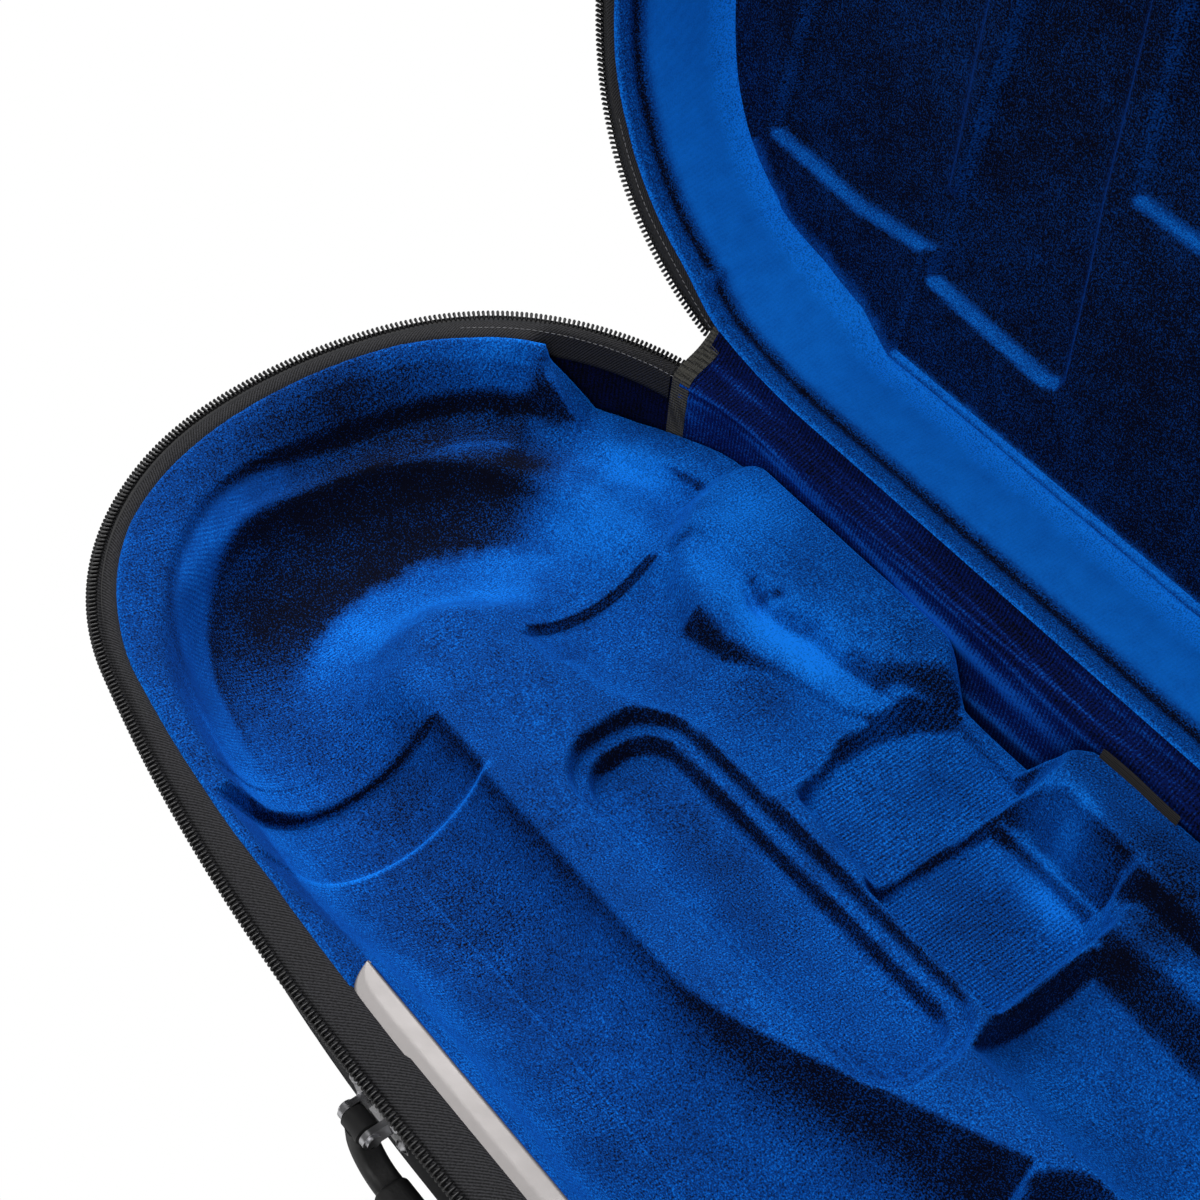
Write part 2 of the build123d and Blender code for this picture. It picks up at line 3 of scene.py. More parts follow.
import bpy
import numpy as np
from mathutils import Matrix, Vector


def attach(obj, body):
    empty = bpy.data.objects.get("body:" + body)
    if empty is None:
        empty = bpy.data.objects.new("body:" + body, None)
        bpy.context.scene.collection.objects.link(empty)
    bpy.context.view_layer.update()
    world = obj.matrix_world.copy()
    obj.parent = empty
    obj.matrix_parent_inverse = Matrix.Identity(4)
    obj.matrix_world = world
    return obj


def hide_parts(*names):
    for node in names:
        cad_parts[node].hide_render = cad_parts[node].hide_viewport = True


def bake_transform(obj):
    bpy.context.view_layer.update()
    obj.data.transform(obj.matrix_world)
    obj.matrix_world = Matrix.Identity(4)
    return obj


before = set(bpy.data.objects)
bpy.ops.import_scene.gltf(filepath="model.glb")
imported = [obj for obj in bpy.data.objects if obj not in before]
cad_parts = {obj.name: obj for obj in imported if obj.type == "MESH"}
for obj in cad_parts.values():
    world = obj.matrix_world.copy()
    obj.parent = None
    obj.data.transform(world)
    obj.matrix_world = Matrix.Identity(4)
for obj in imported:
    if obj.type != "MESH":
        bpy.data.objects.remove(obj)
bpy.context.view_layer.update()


print("stage: frame loaded")

# Shared sizes in millimetres, in the row frame. Each arc is a radius and a turn in degrees; a radius of
# None makes it a straight stretch of the second value's length.
case = {
    "closeZ": 124.0,
    "hingeY": 180.0,
    "openAngle": 100.0,
    "frontY": -180.0,
    "frontX": -65.0,
    "bellArcs": [(1206, 11.5), (147, 69.5), (240, 29), (130, 30), (165, 24), (300, 16)],
    "neckEndX": 425.0,
    "neckCorner": 95.0,
    "neckArcs": [(90, 75), (260, -27), (None, 40), (200, 42)],
}


# Outline of the zip's tooth line
def walkOutline(step):
    # Points clockwise from the front side, about one step apart. Three straight stretches take up what the
    # arcs leave: behind the bell, down the neck end, and along the front.
    x, y, heading = case["frontX"], case["frontY"], 180.0
    points = [(x, y)]

    def moved(radius, amount, heading):
        # Straight on by the heading without a radius; on an arc the radius times the change in the
        # heading's sine and cosine
        before, after = radians(heading), radians(heading - amount)
        if radius is None:
            return amount * cos(before), amount * sin(before), heading
        reach = copysign(radius, amount)
        return reach * (sin(before) - sin(after)), reach * (cos(after) - cos(before)), heading - amount

    def walk(radius, amount):
        nonlocal x, y, heading
        length = amount if radius is None else radius * radians(abs(amount))
        count = max(1 if radius is None else 2, round(length / step))
        for _ in range(count):
            dx, dy, heading = moved(radius, amount / count, heading)
            x, y = x + dx, y + dy
            points.append((x, y))

    fallOfNeck, turned = 0.0, -90.0
    for radius, amount in case["neckArcs"]:
        _, dy, turned = moved(radius, amount, turned)
        fallOfNeck += dy
    for radius, amount in case["bellArcs"]:
        walk(radius, amount)
    walk(None, case["neckEndX"] - case["neckCorner"] - x)
    walk(case["neckCorner"], 90)
    walk(None, y + fallOfNeck - case["frontY"])
    for radius, amount in case["neckArcs"]:
        walk(radius, amount)
    walk(None, x - case["frontX"])
    return np.array(points[:-1])


class Outline:
    # Closed line with its inward normals and the running length at each point
    def __init__(self, step):
        self.points = walkOutline(step)
        following = np.roll(self.points, -1, axis=0)
        tangent = following - np.roll(self.points, 1, axis=0)
        tangent /= np.hypot(*tangent.T)[:, None]
        self.inward = np.stack([tangent[:, 1], -tangent[:, 0]], axis=1)
        gaps = np.hypot(*(following - self.points).T)
        self.total = gaps.sum()
        self.run = np.concatenate([[0], np.cumsum(gaps)[:-1]])

    def offset(self, inset):
        # The line moved inwards along its normals
        return self.points + self.inward * inset

    def measure(self, x, y, batch=4000):
        # Distance in from the line, and running length of the nearest point, for flat arrays
        start = self.points
        edge = np.roll(start, -1, axis=0) - start
        lengthSquared = (edge**2).sum(axis=1)
        inset = np.empty(len(x))
        run = np.empty(len(x))
        for low in range(0, len(x), batch):
            high = min(low + batch, len(x))
            dx = x[low:high, None] - start[None, :, 0]
            dy = y[low:high, None] - start[None, :, 1]
            along = np.clip((dx * edge[:, 0] + dy * edge[:, 1]) / lengthSquared, 0, 1)
            distance = (dx - along * edge[:, 0]) ** 2 + (dy - along * edge[:, 1]) ** 2
            best = distance.argmin(axis=1)
            rows = np.arange(high - low)
            side = edge[best, 1] * dx[rows, best] - edge[best, 0] * dy[rows, best]
            inset[low:high] = np.sqrt(distance[rows, best]) * np.sign(side)
            run[low:high] = self.run[best] + along[rows, best] * np.sqrt(lengthSquared[best])
        return inset, run

    def runAt(self, x, y):
        # Running length of the line's point nearest to one place
        return float(self.measure(np.array([x]), np.array([y]))[1][0])

    def runTable(self, spots):
        # Table of running length and value from a list of x, y and value
        return [(self.runAt(x, y), value) for x, y, value in spots]


outline = Outline(4.0)
print("stage: outline", len(outline.points), "points,", round(outline.total), "mm round")


# Height field helpers, all in millimetres
def between(value, table, **ends):
    # Reads a table of pairs in straight lines from one pair to the next
    return np.interp(value, *np.array(table, float).T, **ends)


def smoothStep(low, high, value):
    # 0 at low and 1 at high with an S curve between; low may be the larger of the two
    t = np.clip((value - low) / (high - low), 0, 1)
    return t * t * (3 - 2 * t)


def hump(offset, width):
    # Bell curve that is 1 where the offset is 0
    return np.exp(-((offset / width) ** 2))


def softMin(a, b, width):
    # The lower of two heights, rounded off where they differ by less than the width
    h = np.clip(0.5 + 0.5 * (b - a) / width, 0, 1)
    return b + (a - b) * h - width * h * (1 - h)


def softMax(a, b, width):
    # The higher of two heights, rounded off in the same way
    return -softMin(-a, -b, width)


def bowl(distance, radius, steepest):
    # Height of a round bed over its axis: a circle, then a straight wall at the steepest slope
    turn = radius * steepest / np.sqrt(1 + steepest**2)
    inside = -np.sqrt(np.maximum(radius**2 - np.minimum(distance, turn) ** 2, 0))
    return inside + np.maximum(distance - turn, 0) * steepest


def sunk(distance, depth, slope, soft):
    # Floor of a recess at a height, with walls that rise outside its outline
    return depth + slope * soft * np.logaddexp(0, distance / soft)


def raised(distance, top, slope, soft):
    # Top of a raised block at a height, with walls that fall outside its outline
    return -sunk(distance, -top, slope, soft)


def blockDistance(x, y, centre, size, radius, turn=0.0):
    # Signed distance to a rectangle with rounded corners, negative inside
    c, s = cos(radians(turn)), sin(radians(turn))
    u = (x - centre[0]) * c + (y - centre[1]) * s
    v = -(x - centre[0]) * s + (y - centre[1]) * c
    qx = np.abs(u) - size[0] / 2 + radius
    qy = np.abs(v) - size[1] / 2 + radius
    outside = np.hypot(np.maximum(qx, 0), np.maximum(qy, 0))
    return outside + np.minimum(np.maximum(qx, qy), 0) - radius


def stretchDistance(x, y, a, b):
    # Distance to the straight stretch from a to b, and the nearest point's share of the way along it
    e = b - a
    t = np.clip(((x - a[0]) * e[0] + (y - a[1]) * e[1]) / (e @ e), 0, 1)
    return np.hypot(x - a[0] - t * e[0], y - a[1] - t * e[1]), t


def polygonDistance(x, y, corners):
    # Signed distance to a closed polygon, negative inside: each side that is crossed swaps in for out
    corners = np.array(corners, float)
    best = np.full(x.shape, np.inf)
    inside = np.zeros(x.shape, bool)
    for a, b in zip(corners, np.roll(corners, -1, axis=0)):
        best = np.minimum(best, stretchDistance(x, y, a, b)[0])
        crosses = (a[1] > y) != (b[1] > y)
        rise = b[1] - a[1]
        inside ^= crosses & (x < a[0] + (y - a[1]) * (b[0] - a[0]) / (rise if rise else 1e-9))
    return np.where(inside, -best, best)


def ridge(x, y, points, height, width):
    # Rounded bead along an open line, fading at both ends; a negative height makes a crease
    points = np.array(points, float)
    lengths = np.hypot(*np.diff(points, axis=0).T)
    best = np.full(x.shape, np.inf)
    along = np.zeros(x.shape)
    done = 0.0
    for a, b, length in zip(points[:-1], points[1:], lengths):
        distance, t = stretchDistance(x, y, a, b)
        along = np.where(distance < best, (done + t * length) / lengths.sum(), along)
        best = np.minimum(best, distance)
        done += length
    fade = np.sin(pi * np.clip(along, 0.02, 0.98)) ** 0.5
    return height * fade * hump(best, width)


def valueNoise(x, y, scale, seed):
    # Smooth random field from -1 to 1 with features of about the given size, from a table of random values
    table = np.random.default_rng(seed).uniform(-1, 1, (64, 64))
    u, v = x / scale, y / scale
    i, j = np.floor(u).astype(int), np.floor(v).astype(int)
    fu, fv = smoothStep(0, 1, u - i), smoothStep(0, 1, v - j)
    near, far = (
        table[i % 64, row % 64] * (1 - fu) + table[(i + 1) % 64, row % 64] * fu for row in (j, j + 1)
    )
    return near * (1 - fv) + far * fv


# Mesh helpers
def makeMesh(name, vertices, faces, material):
    # Smooth-shaded object at the origin from vertices in metres and faces
    mesh = bpy.data.meshes.new(name)
    mesh.from_pydata(np.asarray(vertices, float).tolist(), [], np.asarray(faces).tolist())
    mesh.update()
    mesh.polygons.foreach_set("use_smooth", np.full(len(mesh.polygons), True))
    mesh.materials.append(material)
    item = bpy.data.objects.new(name, mesh)
    bpy.context.scene.collection.objects.link(item)
    return item


def addFloats(item, name, values):
    # One number for each vertex, or the same for all
    spread = np.broadcast_to(np.ravel(values), len(item.data.vertices))
    layer = item.data.attributes.new(name, "FLOAT", "POINT")
    layer.data.foreach_set("value", np.ascontiguousarray(spread, np.float32))


def addPile(item, napAndPaintedLight, grain, ribs):
    # How the pile is brushed, with painted shade and highlights in it, from dark to bright, and how strongly
    # its grain and the knit ribs show
    for name, values in (("napAndPaintedLight", napAndPaintedLight), ("grain", grain), ("ribs", ribs)):
        addFloats(item, name, values)


def gridFaces(rows, columns, around=False, closed=False):
    # Quads of a grid that is stored row by row; around joins the last row to the first, closed the columns
    lines = np.arange(rows if around else rows - 1), np.arange(columns if closed else columns - 1)
    i, j = np.meshgrid(*lines, indexing="ij")
    below, right = (i + 1) % rows * columns, (j + 1) % columns
    return np.stack([i * columns + j, i * columns + right, below + right, below + j], -1).reshape(-1, 4)


def openLid(points):
    # Turns points from the closed lid's place about the hinge line to the open rest place
    angle = radians(-case["openAngle"])
    y = points[..., 1] - case["hingeY"]
    z = points[..., 2] - case["closeZ"]
    turnedY = y * cos(angle) - z * sin(angle) + case["hingeY"]
    turnedZ = y * sin(angle) + z * cos(angle) + case["closeZ"]
    return np.stack([points[..., 0], turnedY, turnedZ], axis=-1)


def snapToLine(x, y, line):
    # Nearest point of a closed line, looked for on both sides of its nearest corner
    nearest = ((line[:, 0] - x[:, None]) ** 2 + (line[:, 1] - y[:, None]) ** 2).argmin(axis=1)
    least = np.full(len(x), np.inf)
    snapped = np.empty((2, len(x)))
    for first in (nearest - 1, nearest):
        p, q = line[first].T, line[(first + 1) % len(line)].T
        e = q - p
        t = np.clip(((x - p[0]) * e[0] + (y - p[1]) * e[1]) / (e**2).sum(axis=0), 0, 1)
        candidate = p + t * e
        gap = (candidate[0] - x) ** 2 + (candidate[1] - y) ** 2
        snapped = np.where(gap < least, candidate, snapped)
        least = np.minimum(gap, least)
    return snapped


def slopes(x, y, height, step=0.8):
    # Rise of a height function per millimetre along X and Y, for flat arrays
    overX = (height(x + step, y) - height(x - step, y)) / (2 * step)
    overY = (height(x, y + step) - height(x, y - step)) / (2 * step)
    return overX, overY


def clippedField(name, material, height, xs, ys, edge, napAndPaintedLight, turnOver=False, place=None):
    # Grid surface z = height(x, y) inside an edge line. Points up to 1.45 spaces outside are kept and drawn
    # in onto the line, so that the border follows it smoothly.
    gx, gy = np.meshgrid(xs, ys, indexing="ij")
    x, y = gx.ravel().copy(), gy.ravel().copy()
    depth, run = outline.measure(x, y)
    depth -= edge(x, y, run)
    spacing = np.maximum(np.gradient(xs)[:, None], np.gradient(ys)[None, :]).ravel()
    outside = depth < 0
    keep = depth > -spacing * 1.45
    border = outline.offset(edge(outline.points[:, 0], outline.points[:, 1], outline.run)[:, None])
    drawn = outside & keep
    x[drawn], y[drawn] = snapToLine(x[drawn], y[drawn], border)
    quads = gridFaces(len(xs), len(ys))
    quads = quads[keep[quads].all(axis=1) & ~outside[quads].all(axis=1)]
    used = np.unique(quads)
    index = np.full(len(x), -1)
    index[used] = np.arange(len(used))
    quads = index[quads]
    x, y = x[used], y[used]

    def fromEdge(px, py):
        inset, along = outline.measure(px, py)
        return np.maximum(inset - edge(px, py, along), 0), along

    def level(px, py):
        return height(px, py, *fromEdge(px, py))

    vertices = np.stack([x, y, level(x, y)], axis=1)
    pile = napAndPaintedLight(x, y, *fromEdge(x, y), *slopes(x, y, level))
    if place is not None:
        vertices = place(vertices)
    item = makeMesh(name, vertices / 1000, quads[:, ::-1] if turnOver else quads, material)
    addPile(item, *pile)
    return item


def spaced(low, middle, high, fine, coarse):
    # Grid lines that are fine up to the middle and coarse beyond
    return np.concatenate([np.arange(low, middle, fine), np.arange(middle, high + coarse, coarse)])


def onOutline(runs, inset, z):
    # Points at an inset and height beside the outline; inset and z have one row per running length
    stops = np.append(outline.run, outline.total)
    wrapped = np.mod(runs, outline.total)
    table = np.concatenate([outline.points, outline.inward], axis=1).T
    x, y, inX, inY = (np.interp(wrapped, stops, np.append(row, row[0]))[:, None] for row in table)
    size = np.hypot(inX, inY)
    x, y = x + inX / size * inset, y + inY / size * inset
    return np.stack([x, y, np.broadcast_to(z, x.shape)], axis=-1)


def knotGrid(knots):
    # Knots given as pairs, with one value for each row or one for all, stacked as rows by knots by two
    return np.stack([np.stack(np.broadcast_arrays(*knot), axis=-1) for knot in knots], axis=1)


def throughPoints(knots, count):
    # Smooth line through the knots on the last axis but one: cubic pieces that leave each knot along the
    # line between its neighbours
    knots = np.asarray(knots, float)
    last = knots.shape[-2] - 1
    at = np.linspace(0, last, count)
    i = np.minimum(at.astype(int), last - 1)
    f = (at - i)[:, None]
    p0, p1 = knots[..., np.maximum(i - 1, 0), :], knots[..., i, :]
    p2, p3 = knots[..., i + 1, :], knots[..., np.minimum(i + 2, last), :]
    leave, arrive = (p2 - p0) / 2, (p3 - p1) / 2
    points = (2 * f**3 - 3 * f**2 + 1) * p1 + (3 * f**2 - 2 * f**3) * p2
    return points + (f**3 - 2 * f**2 + f) * leave + (f**3 - f**2) * arrive


def volumeSign(vertices, quads):
    # Positive when the faces of a closed mesh look outward: the sum of the corner triangles' volumes
    a, b, c, d = (vertices[quads[:, k]] for k in range(4))
    return np.sum(a * np.cross(b, c)) + np.sum(a * np.cross(c, d))


def sweep(name, material, points, around=False, closed=False):
    # Surface through a grid of points in millimetres; a closed one has its faces turned outward
    quads = gridFaces(*points.shape[:2], around, closed)
    vertices = points.reshape(-1, 3) / 1000
    inward = closed and volumeSign(vertices, quads) < 0
    return makeMesh(name, vertices, quads[:, ::-1] if inward else quads, material)


def gridNormals(points):
    # Unit normals of a grid of points, from the cross product of its two directions
    normal = np.cross(np.gradient(points, axis=0), np.gradient(points, axis=1))
    return normal / (np.linalg.norm(normal, axis=-1)[..., None] + 1e-9)


def thicken(points, thickness):
    # Closed loop of columns from an open strip: the strip, then its underside run back. The two faces meet
    # at both ends of the strip, which closes them.
    depth = np.full((len(points), 1, 1), thickness)
    depth[[0, -1]] *= 0.02
    return np.concatenate([points, (points - gridNormals(points) * depth)[:, ::-1]], axis=1)


def ringed(stations, sides):
    # Rings of points round a middle line; a station is a place along it, a half width and a half height
    place, wide, high = np.array(stations).T[..., None]
    turn = np.arange(sides) * 2 * pi / sides
    return np.stack([place + 0 * turn, wide * np.cos(turn), high * np.sin(turn)], axis=-1).reshape(-1, 3)


def repeated(name, material, shape, faces, origins, axes):
    # One shape set down many times; axes has three unit vectors for each origin
    placed = origins[:, None, :] + np.einsum("vk,nkc->nvc", shape, axes)
    offsets = (np.arange(len(origins)) * len(shape))[:, None, None]
    index = (faces[None] + offsets).reshape(-1, 4)
    if volumeSign(placed[0], faces) < 0:
        index = index[:, ::-1]
    return makeMesh(name, placed.reshape(-1, 3) / 1000, index, material)


# Materials
def hexColour(text):
    # Linear colour from an sRGB hex value
    parts = [int(text[i : i + 2], 16) / 255 for i in (0, 2, 4)]
    linear = [p / 12.92 if p <= 0.04045 else ((p + 0.055) / 1.055) ** 2.4 for p in parts]
    return (*linear, 1.0)


def newMaterial(name):
    # Empty material with its node tree and its Principled shader
    material = bpy.data.materials.new(name)
    material.use_nodes = True
    tree = material.node_tree
    return material, tree, tree.nodes["Principled BSDF"]


def addNode(tree, kind, settings=None, links=None):
    # Adds a shader node, sets its sockets or properties, and links inputs to other sockets
    node = tree.nodes.new(kind)
    for key, value in (settings or {}).items():
        if isinstance(key, str) and hasattr(node, key):
            setattr(node, key, value)
        else:
            node.inputs[key].default_value = value
    for key, source in (links or {}).items():
        tree.links.new(source, node.inputs[key])
    return node


def objectPlace(tree):
    return addNode(tree, "ShaderNodeTexCoord").outputs["Object"]


def pieceValue(tree, name):
    return addNode(tree, "ShaderNodeAttribute", {"attribute_name": name}).outputs["Fac"]


def noise(tree, place, scale, detail):
    settings = {"Scale": scale, "Detail": detail}
    return addNode(tree, "ShaderNodeTexNoise", settings, {"Vector": place}).outputs[0]


def waves(tree, place, settings):
    return addNode(tree, "ShaderNodeTexWave", settings, {"Vector": place})


def rerange(tree, source, *limits):
    # From the first two levels to the last two
    return addNode(tree, "ShaderNodeMapRange", dict(enumerate(limits, 1)), {0: source}).outputs[0]


def combine(tree, operation, first, second, clamp=False):
    settings = {"operation": operation, "use_clamp": clamp}
    return addNode(tree, "ShaderNodeMath", settings, {0: first, 1: second}).outputs[0]


def mixColour(tree, factor, first, second):
    colours = {"data_type": "RGBA", 6: first, 7: second}
    return addNode(tree, "ShaderNodeMix", colours, {0: factor}).outputs[2]


def addBump(tree, shader, height, strength, distance):
    # Turns a pattern into fine relief on the shader's normal
    bump = addNode(tree, "ShaderNodeBump", {"Strength": strength, "Distance": distance}, {"Height": height})
    tree.links.new(bump.outputs[0], shader.inputs["Normal"])


def setInputs(shader, values):
    for key, value in values.items():
        shader.inputs[key].default_value = value


def velourMaterial(name, look):
    # Short pile velour: a dark base, a blue sheen, and a colour ramp read from the piece's own attributes,
    # with the nap brushed in patches and painted shade and highlights. The knit ribs of the backing are 1.4
    # mm apart and drawn 2 mm apart so that they show.
    material, tree, shader = newMaterial(name)
    place = objectPlace(tree)
    fine = noise(tree, place, 1250.0, 1.0)
    blotch = noise(tree, place, 90.0, 5.0)
    rib = waves(tree, place, {"Scale": 157.0, "Distortion": 0.4, "Detail": 0.0}).outputs[1]
    grain = combine(tree, "MULTIPLY", rerange(tree, fine, 0.25, 0.75, -0.3, 0.3), pieceValue(tree, "grain"))
    stripe = combine(tree, "MULTIPLY", rerange(tree, rib, 0.0, 1.0, -0.12, 0.12), pieceValue(tree, "ribs"))
    # Brushed nap together with painted shade and highlights, from the piece's attribute
    total = pieceValue(tree, "napAndPaintedLight")
    for part in (rerange(tree, blotch, 0.3, 0.7, -0.035, 0.035), grain, stripe):
        total = combine(tree, "ADD", total, part)
    ramp = addNode(tree, "ShaderNodeValToRGB", {}, {0: total})
    low, high = ramp.color_ramp.elements
    low.color, low.position = hexColour(look["dark"]), 0.12
    high.color, high.position = hexColour(look["bright"]), 0.9
    middle = ramp.color_ramp.elements.new(0.5)
    middle.color = hexColour(look["middle"])
    tree.links.new(ramp.outputs[0], shader.inputs["Base Color"])
    addBump(tree, shader, fine, look["bump"], 0.0006)
    setInputs(shader, {"Roughness": 0.9, "Specular IOR Level": 0.08, "Sheen Weight": look["sheen"]})
    setInputs(shader, {"Sheen Roughness": look["sheenRoughness"], "Sheen Tint": hexColour(look["tint"])})
    return material


def clothMaterial(name, look):
    # Woven cloth: wave patterns crossed along the three axes, in a dark and a lighter thread
    material, tree, shader = newMaterial(name)
    place = objectPlace(tree)
    wave = {"Scale": look["pitch"], "Distortion": look.get("wander", 0.3), "Detail": 1.0, "Detail Scale": 2.0}
    one, two, three = (waves(tree, place, {**wave, "bands_direction": way}).outputs[0] for way in "XYZ")
    weave = combine(tree, "ADD", combine(tree, "MULTIPLY", one, two), three)
    colour = mixColour(tree, weave, hexColour(look["dark"]), hexColour(look["bright"]))
    tree.links.new(colour, shader.inputs["Base Color"])
    addBump(tree, shader, weave, look.get("bump", 0.5), 0.0004)
    setInputs(shader, {"Roughness": 0.8, "Specular IOR Level": 0.3})
    return material


def twillMaterial(name, look):
    # Polyester twill: diagonal ribs 0.6 mm apart in the cloth, drawn 1.3 mm apart so that they show
    material, tree, shader = newMaterial(name)
    ways = {0: pieceValue(tree, "along"), 1: pieceValue(tree, "across")}
    place = addNode(tree, "ShaderNodeCombineXYZ", {}, ways).outputs[0]
    wave = {"bands_direction": "DIAGONAL", "Scale": look["scale"], "Distortion": 1.2}
    rib = waves(tree, place, {**wave, "Detail": 1.0, "Detail Scale": 3.0}).outputs[1]
    fine = rerange(tree, noise(tree, place, 1.1, 1.0), 0.3, 0.7, -0.35, 0.35)
    total = combine(tree, "ADD", rib, fine, clamp=True)
    colour = mixColour(tree, total, hexColour(look["dark"]), hexColour(look["bright"]))
    tree.links.new(colour, shader.inputs["Base Color"])
    addBump(tree, shader, rib, 0.6, 0.0003)
    setInputs(shader, {"Roughness": 0.85, "Specular IOR Level": 0.25})
    return material


def plainMaterial(name, look):
    # Moulded, cast or plated piece: fine surface grain, and slow changes of tone and gloss from handling
    material, tree, shader = newMaterial(name)
    setInputs(shader, {"Metallic": look.get("metallic", 0.0)})
    place = objectPlace(tree)
    fine = noise(tree, place, look.get("grain", 400.0), 3.0)
    slow = noise(tree, place, 60.0, 4.0)
    tone = rerange(tree, slow, 0.35, 0.65, 0.0, 1.0)
    base = hexColour(look["colour"])
    dimmed = (*(part * look.get("worn", 0.8) for part in base[:3]), 1.0)
    tree.links.new(mixColour(tree, tone, dimmed, base), shader.inputs["Base Color"])
    spread = 0.07
    gloss = rerange(tree, slow, 0.3, 0.7, look["roughness"] - spread, look["roughness"] + spread)
    tree.links.new(gloss, shader.inputs["Roughness"])
    addBump(tree, shader, fine, look.get("bump", 0.1), 0.0005)
    return material


# Nylon velour, knitted and cut to a short pile: deep blue and matt, lighter where the pile is stroked back,
# and with painted shade and highlights over it
velourLook = {"dark": "020413", "middle": "034496", "bright": "0c7cec", "tint": "0a70ff"}
velour = velourMaterial("velour", {**velourLook, "sheen": 0.3, "sheenRoughness": 0.35, "bump": 0.3})
# The same velour in darker colours as painted shade, for where it hangs unpadded on the wall and over the
# hinge
shadedVelourLook = {"dark": "01020b", "middle": "031a5c", "bright": "0a56b8", "tint": "0a50c0"}
shadedVelour = velourMaterial("shadedVelour", {**shadedVelourLook, "sheen": 0.12, "sheenRoughness": 0.4, "bump": 0.3})
# Woven polyester twill of the zip tape, charcoal and dull, and the grey thread sewn through it
tapeTwill = twillMaterial("tapeTwill", {"dark": "070708", "bright": "323235", "scale": 0.34})
sewingThread = plainMaterial("sewingThread", {"colour": "6e6e70", "roughness": 0.7})
# Polyester grosgrain ribbon, woven with cross ribs: a warm black with a dull light on each rib
ribbonCloth = clothMaterial("ribbonCloth", {"dark": "1b1b19", "bright": "45443f", "pitch": 200.0})
# Plain woven binding tape round both rims and the strap tabs, black and dull
rimLook = {"dark": "121212", "bright": "2a2a2b", "pitch": 200.0, "wander": 1.5, "bump": 0.4}
rimRibbon = clothMaterial("rimRibbon", rimLook)
# Folded polyester ribbon of the label, finer than the grosgrain
labelCloth = clothMaterial("labelCloth", {"dark": "0d0c0b", "bright": "2a2826", "pitch": 420.0})
# Ballistic nylon, a coarse plain weave of thick yarns, black with small lights on the yarns
coverLook = {"dark": "121315", "bright": "222327", "pitch": 180.0, "wander": 2.5, "bump": 0.3}
coverCloth = clothMaterial("coverCloth", coverLook)
# Extruded nylon thread wound into the coil, black and half glossy
nylon = plainMaterial("nylon", {"colour": "0a0a0b", "roughness": 0.45})
# Pressed steel plate under light grey satin paint
plateLook = {"colour": "84807f", "roughness": 0.42, "metallic": 0.4, "grain": 250.0, "worn": 0.9}
satinPlate = plainMaterial("satinPlate", plateLook)
# Zinc die casting with black nickel plating, polished by handling
zinc = plainMaterial("zinc", {"colour": "3a3a3c", "roughness": 0.35, "metallic": 1.0})
# Nickel-plated steel, barrel polished
steel = plainMaterial("steel", {"colour": "b9b9bc", "roughness": 0.3, "metallic": 1.0, "worn": 0.88})
# Injection-moulded thermoplastic rubber with a fine spark-eroded grain
gripLook = {"colour": "1a1a1b", "roughness": 0.6, "grain": 700.0, "bump": 0.3}
gripPlastic = plainMaterial("gripPlastic", gripLook)
# Moulded black rubber, dull and a little dusty
footRubber = plainMaterial("footRubber", {"colour": "161616", "roughness": 0.75})
print("stage: materials")


